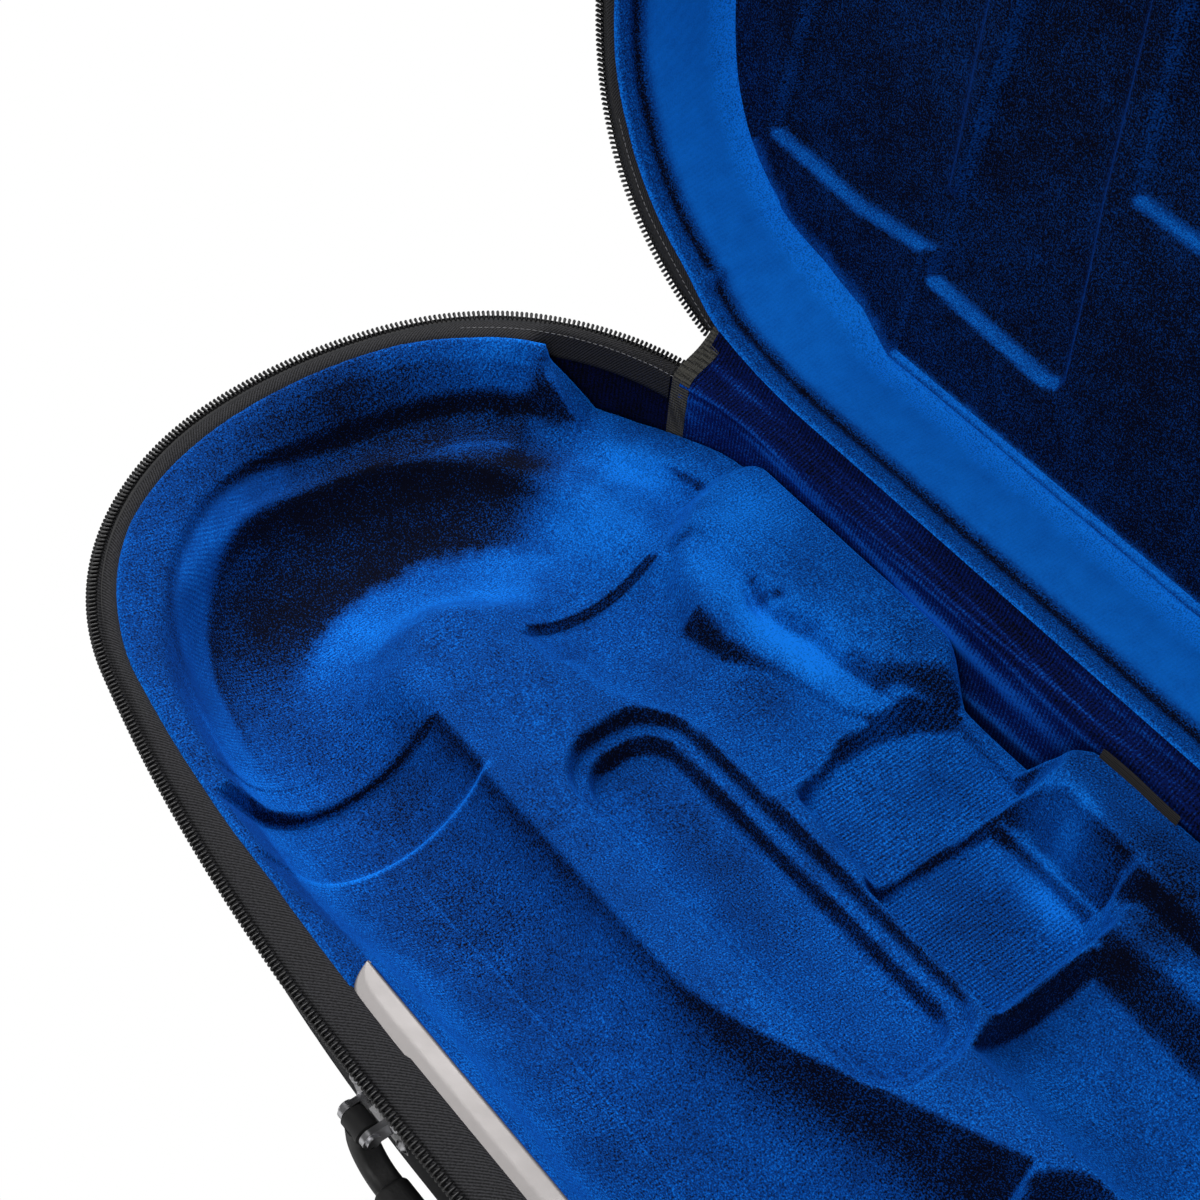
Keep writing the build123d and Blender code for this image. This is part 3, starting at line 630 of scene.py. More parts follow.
# Tray liner as a height field. A straight bed is the Y of its middle line, the height of the tube's axis,
# its radius, its steepest side, the X of its middle, its half length and the slope of its end walls. A
# block or recess has a height, a slope, a rounding and the width over which it joins what is round it.
tray = {
    "rim": 123.0,
    "deck": 90.5,
    "islandTip": (-240.0, -4.0),
    "bowRadius": 81.0,
    "bowZ": 110.0,
    "tubeRadius": 46.0,
    "deepest": 30.0,
    "cornerFall": 0.9,
    "edgeAt": [(-70, -160, 20.0), (-109, -159, 20.3), (-167, -156, 19.2), (-205, -155, 16.8),
               (-246, -151, 14.8), (-300, -144, 13.0), (-330, -133, 14.0), (-376, -99, 14.0),
               (-401, -47, 16.5), (-407, 23, 16.3), (-398, 68, 16.7), (-381, 98, 20.3), (-363, 115, 21.0)],
    "foldAt": (-359.0, 119.0),
    "neckFoldAt": (398.0, 136.0),
    "rearHeight": [(-310, 88), (-280, 94), (-262, 98), (-245, 100), (-104, 104), (-93, 98), (-85, 88),
                   (-62, 82), (-30, 77), (-20, 78), (-12, 100), (60, 100), (330, 104), (350, 92), (380, 90)],
    "rearInset": [(-400, 20), (-350, 22), (-330, 24), (-300, 21), (-262, 19), (-240, 18.5), (-104, 18.5),
                  (-92, 23), (-80, 28), (-20, 27), (-10, 19), (60, 18.5), (400, 18.5)],
    "toCamera": (0.79, -0.61),
    "frontBed": (-86, 110.0, 46.0, 2.2, -230, 8, 5.0),
    "rearBed": (61, 128.0, 50.0, 1.6, -240, 5, 4.0),
    "bodyTube": (78, 112.0, 47.0, 2.2, 212, 157, 3.5),
    "frontRing": (-86, 110.0, 53.0, 2.2, -202, 19, 4.0),
    "rearRing": (61, 126.0, 54.0, 1.8, -223.5, 11, 4.0),
    "plateau": [(-229, 116), (-238, 131), (-242, 147), (-240, 160), (-234, 170), (-99, 170), (-92, 153),
                (-110, 131.5), (-127, 127), (-146, 126), (-160, 121.5), (-182, 118.5), (-212, 120)],
    "terrace": [(-232, 124), (-224, 108), (-212, 100), (-192, 92), (-169, 92), (-150, 98.5), (-134, 102),
                (-108, 107), (-90, 121), (-84, 138), (-90, 150), (-110, 158), (-200, 158)],
    "ledge": [(50, 119), (330, 119), (330, 170), (44, 170)],
    "land": [(-5, 139), (-17, 147), (-16, 157), (-6, 170), (330, 170), (330, 139), (43, 136), (20, 136.5)],
    "ribbed": [(-84, 66), (-90, 80), (-93, 95), (-92, 114), (-86, 133), (-75, 148), (-30, 145), (-28, 62)],
    "padWall": [(-30, 70), (-28, 100), (-27, 129), (-14, 132), (12, 130), (37, 130), (45, 122), (46, 70)],
    "padStep": [(-30, 60), (-28, 100), (-26, 123), (-14, 125), (12, 124), (34, 124), (42, 118), (44, 60)],
    "recesses": {"ribbed": (78.0, 2.6, 1.4, 2.5), "padWall": (81.0, 6.0, 1.0, 2.0),
                 "padStep": (72.0, 3.0, 1.2, 2.0)},
    "creases": [([(-186, 118), (-178, 113), (-170, 112)], -4.0, 3.0), ([(-172, 118), (-166, 122)], -3.0, 2.5),
                ([(-356, 119), (-353, 104), (-350, 88)], -3.5, 5.0), ([(-345, 119), (-330, 116)], 2.5, 5.0)],
}
foldRun = outline.runAt(*tray["foldAt"])
neckFoldRun = outline.runAt(*tray["neckFoldAt"])
linerEdge = outline.runTable(tray["edgeAt"])


def rearShare(x, run):
    # 1 along the hinge, where the liner's edge lies low, and 0 where it meets the rim
    return smoothStep(foldRun - 2, foldRun + 12, run) * smoothStep(neckFoldRun + 2, neckFoldRun - 12, run)


def trayEdge(x, y, run):
    # How far inside the tooth line the liner ends
    share = rearShare(x, run)
    return between(run, linerEdge) * (1 - share) + between(x, tray["rearInset"]) * share


def aroundTip(x, y):
    # Distance from the tip of the island in the bow, and the angle round it
    dx, dy = x - tray["islandTip"][0], y - tray["islandTip"][1]
    return np.hypot(dx, dy), np.degrees(np.arctan2(dy, dx)) % 360


def trayBands(x, y):
    # 1 on the far side round the bow, where the wall falls deep, and 0 elsewhere; then the insets at which
    # the lip and the second band end
    angle = np.degrees(np.arctan2(y, x - tray["islandTip"][0])) % 360
    far = smoothStep(205, 165, angle) * smoothStep(60, 100, angle) * (x < -150)
    return far, 37.0 + 3.0 * far, 52.0 + 6.0 * far


def trayProfile(x, y, t, edge):
    # Rim, lip, step, second band and wall, by how far in from the tooth line the point lies
    far, lipEnd, bandEnd = trayBands(x, y)
    inset = t + edge
    lip = tray["rim"] - (9.0 + 13.0 * far) * np.clip(t / (lipEnd - edge), 0, 1) ** 1.5
    step = -(5.0 + 3.0 * far) * smoothStep(lipEnd - 1.5, lipEnd + 2.5, inset)
    band = -(10.0 + 6.0 * far) * np.clip((inset - lipEnd - 1.0) / (bandEnd - lipEnd - 1.0), 0, 1)
    wall = -60.0 * smoothStep(bandEnd, bandEnd + 34.0, inset)
    bead = 1.4 * hump(inset - bandEnd + 0.5, 2.2)
    return lip + step + band + wall + bead


def straightBed(x, y, name):
    # A round bed along X with a sloping wall at each end
    middleY, axisZ, radius, steepest, middleX, half, endSlope = tray[name]
    ends = endSlope * np.maximum(np.abs(x - middleX) - half, 0)
    return axisZ + bowl(np.abs(y - middleY), radius, steepest) + ends


def bowBed(x, y):
    # Round bed bent round the island's tip; it rises and tightens from the front side to the rear
    out, angle = aroundTip(x, y)
    turned = np.where(angle < 90, 1.0, smoothStep(190, 100, angle))
    ring = out - (tray["bowRadius"] - 15.0 * turned)
    wide = smoothStep(262, 225, angle) * smoothStep(100, 140, angle)
    steep = np.where(ring < 0, 1.0, 2.4)
    bed = bowl(np.abs(ring), tray["tubeRadius"] + 4.0 * turned + 5.0 * wide, steep)
    return tray["bowZ"] + 18.0 * turned + bed + 5.0 * np.maximum(x - tray["islandTip"][0] - 18, 0)


def bellBed(x, y):
    # Round bed that widens and swings over towards the bell's mouth
    flare = 53.0 + 23.0 * np.clip((x + 60) / 130, 0, 1.3) ** 2
    flare = flare - 7.0 * smoothStep(-180, -90, x) * smoothStep(60, -40, x) * (y < -87)
    off = np.abs(y + 87 - 17 * smoothStep(-50, 70, x))
    bed = 112.0 + bowl(off / flare, 1.0, 1.9) * flare
    return bed + 4.0 * np.maximum(-182 - x, 0) + 2.2 * np.maximum(x - 108, 0)


def keyStackBed(x, y):
    # Round bed beside the bow that rises and moves over along the key stack
    along = smoothStep(-212, -125, x)
    bed = 126.0 + 9.0 * along + bowl(np.abs(y - 60 - 14 * along), 50.0, 1.3)
    return bed + 3.0 * np.maximum(-212 - x, 0) + 2.4 * np.maximum(x + 94, 0)


plate = {"middle": -20.0, "half": 93.0, "innerY": -145.0, "width": 16.3, "bed": 118.9, "top": 120.6,
         "crown": 0.6, "rolled": 0.8, "thickness": 1.8}


def plateDrop(x):
    # Width of the backing plate along it: even in the middle, and swept to a point at both ends
    return plate["width"] * (1 - np.minimum(np.abs((x - plate["middle"]) / plate["half"]), 1) ** 16)


def trayHeight(x, y, t, run):
    # The whole upper face of the tray liner; t is the distance in from its edge
    z = trayProfile(x, y, t, trayEdge(x, y, run))

    # Along the hinge the edge leaves the rim at the corner fold and stays low
    share = rearShare(x, run)
    corner = tray["rim"] - tray["cornerFall"] * np.clip(run - foldRun, 0, 40) + 0.1 * t
    neckCorner = tray["rim"] - tray["cornerFall"] * np.clip(neckFoldRun - run, 0, 36)
    rear = between(x, tray["rearHeight"]) - 0.06 * t
    low = np.where(run < foldRun + 40, corner, np.where(x < 340, rear, neckCorner))
    z = np.where(share > 0, softMin(z, low + 60 * (1 - share), 4.0), z)
    z = softMax(z, tray["deck"] - 6.0 * share * smoothStep(60, 25, t), 6)

    # Beds for the horn, then the rings of the two limbs
    z = softMin(z, bowBed(x, y), 5.0)
    frontBed, rearBed, bodyTube = (straightBed(x, y, name) for name in ("frontBed", "rearBed", "bodyTube"))
    for bed in (frontBed, bellBed(x, y), rearBed, keyStackBed(x, y), bodyTube):
        z = softMin(z, np.maximum(bed, tray["deepest"]), 3.0)
    for name in ("frontRing", "rearRing"):
        z = softMin(z, straightBed(x, y, name), 2.0)

    # Raised blocks along the hinge: a terrace with the plateau on it, and the land behind the post
    terraceTop = 104.0 - 7.5 * smoothStep(-196, -160, x) - 2.0 * smoothStep(-130, -92, x)
    landSlope = 1.8 + 3.0 * smoothStep(-16, 0, x)
    blocks = {"terrace": (terraceTop, 2.4, 1.8, 3.0), "plateau": (110.0, 1.7, 2.2, 2.5),
              "ledge": (104.0, 2.4, 1.6, 3.0), "land": (121.5, landSlope, 1.4, 2.5)}
    for name, (top, slope, soft, width) in blocks.items():
        z = softMax(z, raised(polygonDistance(x, y, tray[name]), top, slope, soft), width)

    # Recesses for keys: a round-ended one with a well in it, the ribbed one and the pad's, and the pocket
    z = softMin(z, sunk(blockDistance(x, y, (-58, 20), (220, 60), 24, 1.0), 79.5, 3.6, 1.0), 3.0)
    z = softMin(z, sunk(blockDistance(x, y, (-58, 20), (202, 42), 16, 1.0), 69.0, 3.6, 0.9), 1.5)
    for name, (floor, slope, soft, width) in tray["recesses"].items():
        z = softMin(z, sunk(polygonDistance(x, y, tray[name]), floor, slope, soft), width)
    pocket = np.maximum(blockDistance(x, y, (230, -50), (210, 150), 26), 24 - t)
    z = softMin(z, sunk(pocket, 46.0, 2.6, 2.0), 6)

    # Shallow bed for the plate on the front lip
    acrossPlate = np.maximum(plate["innerY"] - plateDrop(x) - y, y - plate["innerY"])
    outside = np.maximum(acrossPlate, np.abs(x - plate["middle"]) - plate["half"])
    z = softMin(z, plate["bed"] + 3.0 * np.maximum(outside - 0.6, 0), 0.4)

    # Pinched creases in the velour, the rolled edge, and the foam's small unevenness
    for points, height, width in tray["creases"]:
        z += ridge(x, y, points, height, width)
    z -= 2.6 * np.clip(1 - t / 2.6, 0, 1) ** 2
    z += 0.35 * valueNoise(x, y, 26, 3) + 0.12 * valueNoise(x, y, 9, 4)
    return z


def around(x, y, spot):
    # 1 at a spot, fading over its radius; a spot is x, y, radius, or an oval with a second radius and a turn
    cx, cy, radius = spot[:3]
    other, turn = (spot[3], radians(spot[4])) if len(spot) > 3 else (radius, 0.0)
    u = ((x - cx) * cos(turn) + (y - cy) * sin(turn)) / radius
    v = (-(x - cx) * sin(turn) + (y - cy) * cos(turn)) / other
    return np.exp(-(u**2 + v**2))


# Spots painted lighter or darker, for brushed pile and for painted shade and highlights: an amount, lighter
# or darker, and the spot that it fades round
brushedAndPaintedLightSpots = [
    (0.27, (-269, 93, 26)), (0.3, (-284, 128, 24, 12, 15)), (0.2, (-219, 138, 26)), (0.1, (-207, 104, 16)),
    (0.46, (-150, 112, 44, 12, 8)), (0.45, (16, 127, 26, 14, 0)), (-0.12, (-304, 11, 24)),
    (-0.24, (-310, -92, 36)), (-0.1, (32, 143, 22, 8, 8)), (-0.14, (-209, -67, 24)), (-0.2, (-139, -89, 50)),
    (-0.16, (66, 150, 60, 20, 0)), (-0.1, (-4, 149, 14)), (0.05, (-250, -40, 30)),
    (-0.1, (-120, 147, 26, 14, 0)), (-0.25, (-322, 92, 14)), (-0.12, (10, 92, 30)), (-0.06, (-241, -15, 34)),
    (-0.12, (-253, -75, 26)), (0.1, (-138, 142, 20)), (-0.16, (-143, 89, 16)), (-0.13, (-90, 20, 80, 16, 0)),
    (0.3, (7, 135, 10)), (-0.22, (66, 130, 16)), (-0.1, (-10, -95, 60)), (-0.28, (2, 127, 34, 5, 0)),
    (0.24, (-10, 136, 12)),
]


def trayNapAndLight(x, y, t, run, zx, zy):
    # Brushed nap with painted light: painted shade on steep sides that fall towards the camera, a painted
    # sheen on those that fall away from it, and spots painted lighter or darker for brushed pile and for
    # shade and highlights. Returns the nap with its painted light, and the strengths of the grain and of the
    # ribs.
    towards = tray["toCamera"]
    face = -(zx * towards[0] + zy * towards[1])
    uneven = valueNoise(x, y, 30, 5) + 0.5 * valueNoise(x, y, 11, 6)
    frayed = 2.2 * (valueNoise(x, y, 7, 7) + 0.8 * valueNoise(x, y, 2.5, 8))
    # Painted shade on slopes that face the camera, painted sheen on slopes that face away
    steep = smoothStep(0.5, 1.5, face + 0.08 * uneven)
    napAndPaintedLight = 0.48 - 0.34 * steep + 0.16 * smoothStep(0.1, 0.9, -face)
    # A darker band outside the bow's ring and a lighter one inside it, each with a frayed border
    ring, angle = aroundTip(x, y)
    swept = smoothStep(120, 138, angle) * smoothStep(236, 205, angle)
    outer = smoothStep(79, 86, ring + frayed) * smoothStep(134, 118, ring)
    inner = smoothStep(80, 74, ring + frayed) * smoothStep(36, 52, ring)
    napAndPaintedLight = napAndPaintedLight - 0.34 * outer * swept
    napAndPaintedLight = napAndPaintedLight + 0.16 * inner * smoothStep(95, 130, angle) * smoothStep(250, 200, angle)
    for amount, spot in brushedAndPaintedLightSpots:
        napAndPaintedLight = napAndPaintedLight + amount * around(x, y, spot)

    # Lip and second band, each with its own tone and darker on the far side of the bow as painted shade, with
    # painted shade in the crease below each and a painted highlight along the rolled edge
    far, lipEnd, bandEnd = trayBands(x, y)
    inset = t + trayEdge(x, y, run)
    onWall = (1 - rearShare(x, run)) * smoothStep(-40, -90, x)
    lip = smoothStep(lipEnd + 0.5, lipEnd - 3.0, inset) * onWall
    lipTone = 0.39 - 0.12 * around(x, y, (-400, 20, 50)) + 0.2 * around(x, y, (-366, 106, 30))
    lipTone = lipTone - 0.1 * (t > 10) * far
    napAndPaintedLight = napAndPaintedLight * (1 - lip) + lipTone * lip
    onBow = onWall * np.maximum(smoothStep(-240, -275, x), far)
    band = smoothStep(lipEnd, lipEnd + 3.0, inset) * smoothStep(bandEnd + 1.0, bandEnd - 1.5, inset) * onBow
    napAndPaintedLight = napAndPaintedLight * (1 - band) + (0.5 - 0.32 * far) * band
    # Painted shade in the creases below the lip and the band
    creases = hump(inset - lipEnd - 1.2, 1.8) + hump(inset - bandEnd - 2.0, 2.4)
    napAndPaintedLight = napAndPaintedLight - 0.26 * creases * onBow * (0.35 + 0.65 * far)
    # Painted highlight along the rolled edge
    napAndPaintedLight = napAndPaintedLight + 0.3 * hump(t, 1.6)

    # A painted highlight across the front bed, and a painted shadow along the plate
    napAndPaintedLight = napAndPaintedLight + 0.3 * hump(x + 182.5, 1.8) * smoothStep(56, 48, np.abs(y + 86))
    napAndPaintedLight = napAndPaintedLight - 0.35 * hump(y + 143.4, 1.3) * smoothStep(-114, -108, x) * smoothStep(74, 68, x)
    grain = np.clip(1.0 - 0.6 * band * (1 - far) + 0.15 * uneven, 0.2, 1.2)
    flat = smoothStep(0.5, 0.2, np.hypot(zx, zy))
    ribbed, padStep = (smoothStep(4, -4, polygonDistance(x, y, tray[name])) for name in ("ribbed", "padStep"))
    ribs = np.clip(0.25 + 0.3 * uneven + (ribbed + 0.8 * padStep) * flat, 0, 1)
    return np.clip(napAndPaintedLight + 0.05 * uneven, 0.02, 1.0), grain, ribs


xs, ys = spaced(-408, 110, 412, 1.4, 2.8), np.arange(-166, 168, 1.4)
trayLiner = clippedField("trayLiner", velour, trayHeight, xs, ys, trayEdge, trayNapAndLight)
print("stage: tray liner", len(trayLiner.data.polygons), "faces")
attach(trayLiner, "tray")
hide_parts("tray_liner")


# Lid liner, worked out in the closed lid's place. A pocket has corners, a depth and the slope of its sides.
lid = {
    "hingeEdge": 13.5,
    "panel": 60.0,
    "wallAt": [(-344, 158, 34), (-300, 175, 38), (-262, 180, 36), (-236, 180, 24.5), (345, 180, 24.5),
               (395, 170, 34)],
    "wallElsewhere": 36.0,
    "kinkAt": (-322.0, 168.0),
    "pockets": [
        ([(-226, 106), (-150, 111), (-143, 108), (-141, 103), (-147, 41), (-151, 12), (-160, -104),
          (-214, -104), (-224, 60)], 70.0, 1.7),
        ([(-340, 92), (-277, 96), (-212, 88), (-204, 84), (-206, 70), (-214, 64), (-232, 58), (-240, -60),
          (-330, -60)], 67.0, 1.3),
        ([(-131, -1), (330, -1), (330, -120), (-140, -120)], 69.0, 1.4),
    ],
}
lidWall = outline.runTable(lid["wallAt"])
hingeFrom, hingeTo = outline.runAt(-330, 166), outline.runAt(392, 172)


def lidEdge(run):
    # The lid's liner ends where the tray's does, and comes closer to the zip along the hinge
    hinge = smoothStep(hingeFrom - 10, hingeFrom + 40, run) * smoothStep(hingeTo + 10, hingeTo - 40, run)
    return between(run, linerEdge) * (1 - hinge) + lid["hingeEdge"] * hinge


def lidWallEnd(run):
    # How far inside the tooth line the lid's wall meets the panel
    return between(run, lidWall, left=lid["wallElsewhere"], right=lid["wallElsewhere"])


def lidPanelEdge(x, y, run):
    # The panel starts 2 mm further in, under the wall's last turn
    return lidWallEnd(run) + 2.0


def lidPanelHeight(x, y, t, run):
    # Level ceiling, one step deeper past the corner line, with three pockets sunk in it
    step = 2.5 * smoothStep(-236, -233, x)
    h = lid["panel"] - 0.7 * smoothStep(4, 0, t) + step * smoothStep(0, 5, t)
    for corners, depth, slope in lid["pockets"]:
        pocket = polygonDistance(x, y, corners) + np.maximum(10 - t, 0)
        h = softMax(h, raised(pocket, depth, slope, 1.6), 2.0)
    return case["closeZ"] + h + 0.4 * valueNoise(x, y, 40, 21)


def lidPanelNapAndLight(x, y, t, run, zx, zy):
    # Painted shade where the pile faces the room, and painted light on the sides of the pockets that look up
    # from the hinge
    uneven = valueNoise(x, y, 34, 15) + 0.6 * valueNoise(x, y, 13, 16)
    napAndPaintedLight = 0.15 + 0.035 * uneven + 0.45 * smoothStep(0.25, 1.1, -zy) + 0.1 * smoothStep(0.3, 1.2, np.abs(zx))
    besideHinge = (run > hingeFrom - 60) * (run < hingeTo + 60)
    # Lighter along the panel's edge beside the hinge, with a frayed border
    napAndPaintedLight += 0.3 * smoothStep(9, 0, t + 2.0 * valueNoise(x, y, 4, 17)) * besideHinge
    return napAndPaintedLight, 0.8, 0.1


# Wall of the lid's liner from its edge up to the panel, pinched where it kinks beside the hinge
lidRuns = np.arange(0, outline.total - 2.0, 2.5)
edge, end = lidEdge(lidRuns), lidWallEnd(lidRuns)
kink = hump(lidRuns - outline.runAt(*lid["kinkAt"]), 4.5)
wander = valueNoise(lidRuns, 0 * lidRuns, 45, 18)
line = throughPoints(knotGrid([
    (edge, 1.4),
    (edge + 2.1 + 1.5 * kink, 3.4),
    (edge + 3.0 + 2.5 * kink + 0.3 * wander, 8.0 + 0.5 * wander),
    (edge + 2.3 + 4.0 * kink, 12.6 + wander),
    (edge + 3.6 + 3.0 * kink, 17.2 + 0.8 * wander),
    (edge + 3.6 + (end - edge - 3.6) * 0.45, 38.0),
    (end - 1.8, 56.0),
    (end + 2.6, 59.9),
    (end + 6.0, 61.6),
]), 57)
h = line[..., 1]
wallPoints = onOutline(lidRuns, line[..., 0], case["closeZ"] + h)
wall = sweep("lidLinerWall", velour, openLid(wallPoints), around=True)
# Painted highlight on the rolled edge, painted shade in the valley above it that fades at the kink, painted
# light on the wall higher up, which faces up when the lid is open, and lighter again near the panel
fringed = h + 1.6 * valueNoise(wallPoints[..., 0], h, 3.0, 19)
napAndPaintedLight = 0.44 + 0.26 * hump(h - 1.6, 1.2) - 0.36 * hump(h - 12.8, 2.6) * (1 - 0.8 * kink[:, None])
napAndPaintedLight = napAndPaintedLight + 0.26 * smoothStep(16, 21, h) + 0.1 * smoothStep(44, 54, fringed)
addPile(wall, napAndPaintedLight, 1.0 - 0.85 * smoothStep(15, 20, h) * smoothStep(54, 46, fringed), 0.1)
xs, ys = spaced(-408, -40, 412, 1.5, 3.0), np.arange(-166, 170, 1.5)
panel = clippedField(
    "lidLinerPanel", velour, lidPanelHeight, xs, ys, lidPanelEdge, lidPanelNapAndLight, turnOver=True, place=openLid
)
for item in (wall, panel):
    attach(item, "lid")
    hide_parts("lid_liner")
print("stage: lid liner", len(wall.data.polygons) + len(panel.data.polygons), "faces")


# Backing plate of the handle on the front lip, with rolled edges and a slight crown
plateX = plate["middle"] + plate["half"] * np.sin(np.linspace(-1, 1, 161) * pi / 2)[:, None] * 0.9999
sideways = np.linspace(0, 1, 19)[None]
margin = np.minimum(sideways, 1 - sideways) * plateDrop(plateX)
plateY = plate["innerY"] - sideways * plateDrop(plateX)
plateZ = plate["top"] + plate["crown"] * np.minimum(margin / 8.0, 1)
plateZ = plateZ - plate["rolled"] * np.clip(1 - margin / 1.1, 0, 1) ** 2
platePoints = np.stack([plateX + 0 * sideways, plateY, plateZ], axis=-1)
plateLoop = thicken(platePoints, -plate["thickness"])
backingPlate = sweep("handleBackingPlate", satinPlate, plateLoop, closed=True)
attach(backingPlate, "tray")
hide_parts("handle_backing_plate")


# Zip along both rims: a tape of twill, its stitches, and the coil's turns. A turn is a fat loop over the
# edge that thins towards the tape. The lid's turns start past the parked slider, which would otherwise lie
# on them when the lid is closed.
zipPiece = {
    "stopBell": (-301.0, 175),
    "stopNeck": (369.0, 178),
    "pitch": 2.5,
    "underSlider": 11,
    "coilZ": 122.3,
    "lean": 0.12,
    "tape": 0.9,
    "columns": 20,
    "toothAt": [(-70, -180, 1.0), (-125, -181, 0.9), (-249, -167, 1.7), (-355, -134, 3.7), (-396, -90, 5.0),
                (-420, -11, 5.3), (-410, 70, 5.4), (-398, 110, 6.3), (-365, 142, 6.4), (-303, 175, 5.6),
                (380, 170, 2.4), (400, -80, 1.5)],
    "stitch": 3.4,
    "seamColumn": 12,
    "turn": [(-2.6, 0.25, 0.4), (-2.2, 0.85, 1.25), (-0.6, 0.72, 1.15), (1.6, 0.66, 0.9), (2.7, 0.3, 0.35)],
    "thread": [(-1.1, 0.12, 0.12), (-0.7, 0.3, 0.3), (0.7, 0.3, 0.3), (1.1, 0.12, 0.12)],
}
stopBell, stopNeck = outline.runAt(*zipPiece["stopBell"]), outline.runAt(*zipPiece["stopNeck"])
toothLine = outline.runTable(zipPiece["toothAt"])
turnCaps = [[0, 1, 2, 3], [0, 3, 4, 5], [27, 26, 25, 24], [29, 28, 27, 24]]
turnFaces = np.concatenate([gridFaces(5, 6, closed=True)[:, ::-1], turnCaps])
threadFaces = np.concatenate([gridFaces(4, 4, closed=True)[:, ::-1], [[0, 1, 2, 3], [15, 14, 13, 12]]])


def toothInset(run):
    # How far inside the tooth line the middle of the coil lies
    return between(run, toothLine, period=outline.total)


def zipRuns(step):
    # Running lengths from the stop at the neck end, round the front, to the stop at the bell end
    return np.arange(stopNeck, outline.total + stopBell, step)


def tapeLine(runs, lidSide):
    # Section of the tape: flat from the coil to the liner, and bent down the wall where the tray's liner
    # lies low
    wrapped = np.mod(runs, outline.total)
    x = onOutline(runs, 0.0, 0.0)[:, 0, 0]
    share = 0 * runs if lidSide else rearShare(x, wrapped) * (x < 0)
    edge = lidEdge(wrapped) if lidSide else between(wrapped, linerEdge)
    tooth = toothInset(runs)
    wave = 0.35 * valueNoise(runs, 0 * runs, 22, 31 + lidSide)
    flat = [(tooth - 1.1, 121.0), (tooth + 2.6, 120.2), (tooth + 4.4, 121.9 + wave),
            (tooth * 0.4 + edge * 0.6, 122.9 + wave), (edge - 0.8, 122.4), (edge + 1.8, 120.2)]
    bent = [(tooth - 1.1, 121.0), (tooth + 2.4, 121.1), (9.6, 122.8), (13.8, 121.4 + wave), (15.2, 115.5),
            (16.3, 107.0 + wave)]
    knots = [[(1 - share) * f + share * b for f, b in zip(one, two)] for one, two in zip(flat, bent)]
    return throughPoints(knotGrid(knots), zipPiece["columns"])


def rimPlace(points, lidSide):
    # The lid's zip mirrors the tray's in the closing plane, and is turned open with the lid
    return openLid(points * (1, 1, -1) + (0, 0, 2 * case["closeZ"])) if lidSide else points


def frameAt(runs, inset, z, lidSide, slant):
    # Origins and three unit vectors (across the rim, along it, up) at running lengths
    inset, z = np.broadcast_arrays(inset, z, runs)[:2]
    centre = onOutline(runs, inset[:, None], z[:, None])
    across = onOutline(runs, inset[:, None] + 1.0, z[:, None])
    ahead = onOutline(runs + 1.0, inset[:, None], z[:, None])
    corners = rimPlace(np.concatenate([centre, across, ahead], axis=1), lidSide)
    two = corners[:, 2] - corners[:, 0]
    one = corners[:, 1] - corners[:, 0] + slant * two
    one /= np.linalg.norm(one, axis=1)[:, None]
    up = np.cross(two, one)
    up /= np.linalg.norm(up, axis=1)[:, None]
    return corners[:, 0], np.stack([one, np.cross(one, up), up], axis=1)


for side, body in ((False, "tray"), (True, "lid")):
    runs = zipRuns(3.0)
    line = tapeLine(runs, side)
    strip = onOutline(runs, line[..., 0], line[..., 1])
    tapeLoop = rimPlace(thicken(strip, -zipPiece["tape"]), side)
    tape = sweep(body + "ZipTape", tapeTwill, tapeLoop, closed=True)
    steps = np.diff(line, axis=1, prepend=line[:, :1])
    lengths = np.cumsum(np.hypot(steps[..., 0], steps[..., 1]), axis=1)
    addFloats(tape, "along", np.repeat(runs, 2 * zipPiece["columns"]))
    addFloats(tape, "across", np.concatenate([lengths, lengths[:, ::-1]], axis=1))
    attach(tape, body)
    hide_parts(body + "_zip_tape")
    turns = zipRuns(zipPiece["pitch"])[zipPiece["underSlider"] if side else 0 :]
    origins, axes = frameAt(turns, toothInset(turns), zipPiece["coilZ"], side, zipPiece["lean"])
    coil = repeated(body + "ZipCoil", nylon, ringed(zipPiece["turn"], 6), turnFaces, origins, axes)
    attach(coil, body)
    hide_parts(body + "_zip_coil")
    threads = np.arange(foldRun - 40, stopBell, zipPiece["stitch"])
    inset, z = tapeLine(threads, side)[:, zipPiece["seamColumn"]].T + 0.3
    origins, axes = frameAt(threads, inset, z, side, 0.0)
    thread, axes = ringed(zipPiece["thread"], 4), axes[:, [1, 0, 2]]
    seam = repeated(body + "ZipSeam", sewingThread, thread, threadFaces, origins, axes)
    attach(seam, body)
print("stage: zip")


# Velour gusset over the hinge, from low on the tray's wall up to the lid's liner, with lengthwise wrinkles.
# A wrinkle is its share of the way across and its height; the wall's places are insets and heights.
gusset = {
    "fromX": -297.0,
    "toX": 357.0,
    "columns": 64,
    "wall": [(23.5, 56.0), (20.6, 76.0), (18.6, 93.0), (16.2, 113.0), (14.2, 122.0), (9.4, 124.0)],
    "wrinkles": [(0.24, 1.2), (0.33, 1.8), (0.41, 1.4), (0.5, 1.7), (0.6, 1.3), (0.72, 0.9), (0.87, 0.9)],
    "wrinkleWidth": 0.028,
}
gussetRuns = np.arange(outline.runAt(gusset["fromX"], 177), outline.runAt(gusset["toX"], 180), 2.5)
lidEnd = openLid(onOutline(gussetRuns, lidEdge(gussetRuns)[:, None] + 0.5, case["closeZ"] + 1.5)[:, 0])
knots = [onOutline(gussetRuns, inset, z)[:, 0] for inset, z in gusset["wall"]]
knots += [(knots[-1] + lidEnd) / 2 + (0, 1.2, -2.4), lidEnd]
gussetPoints = throughPoints(np.stack(knots, axis=1), gusset["columns"])
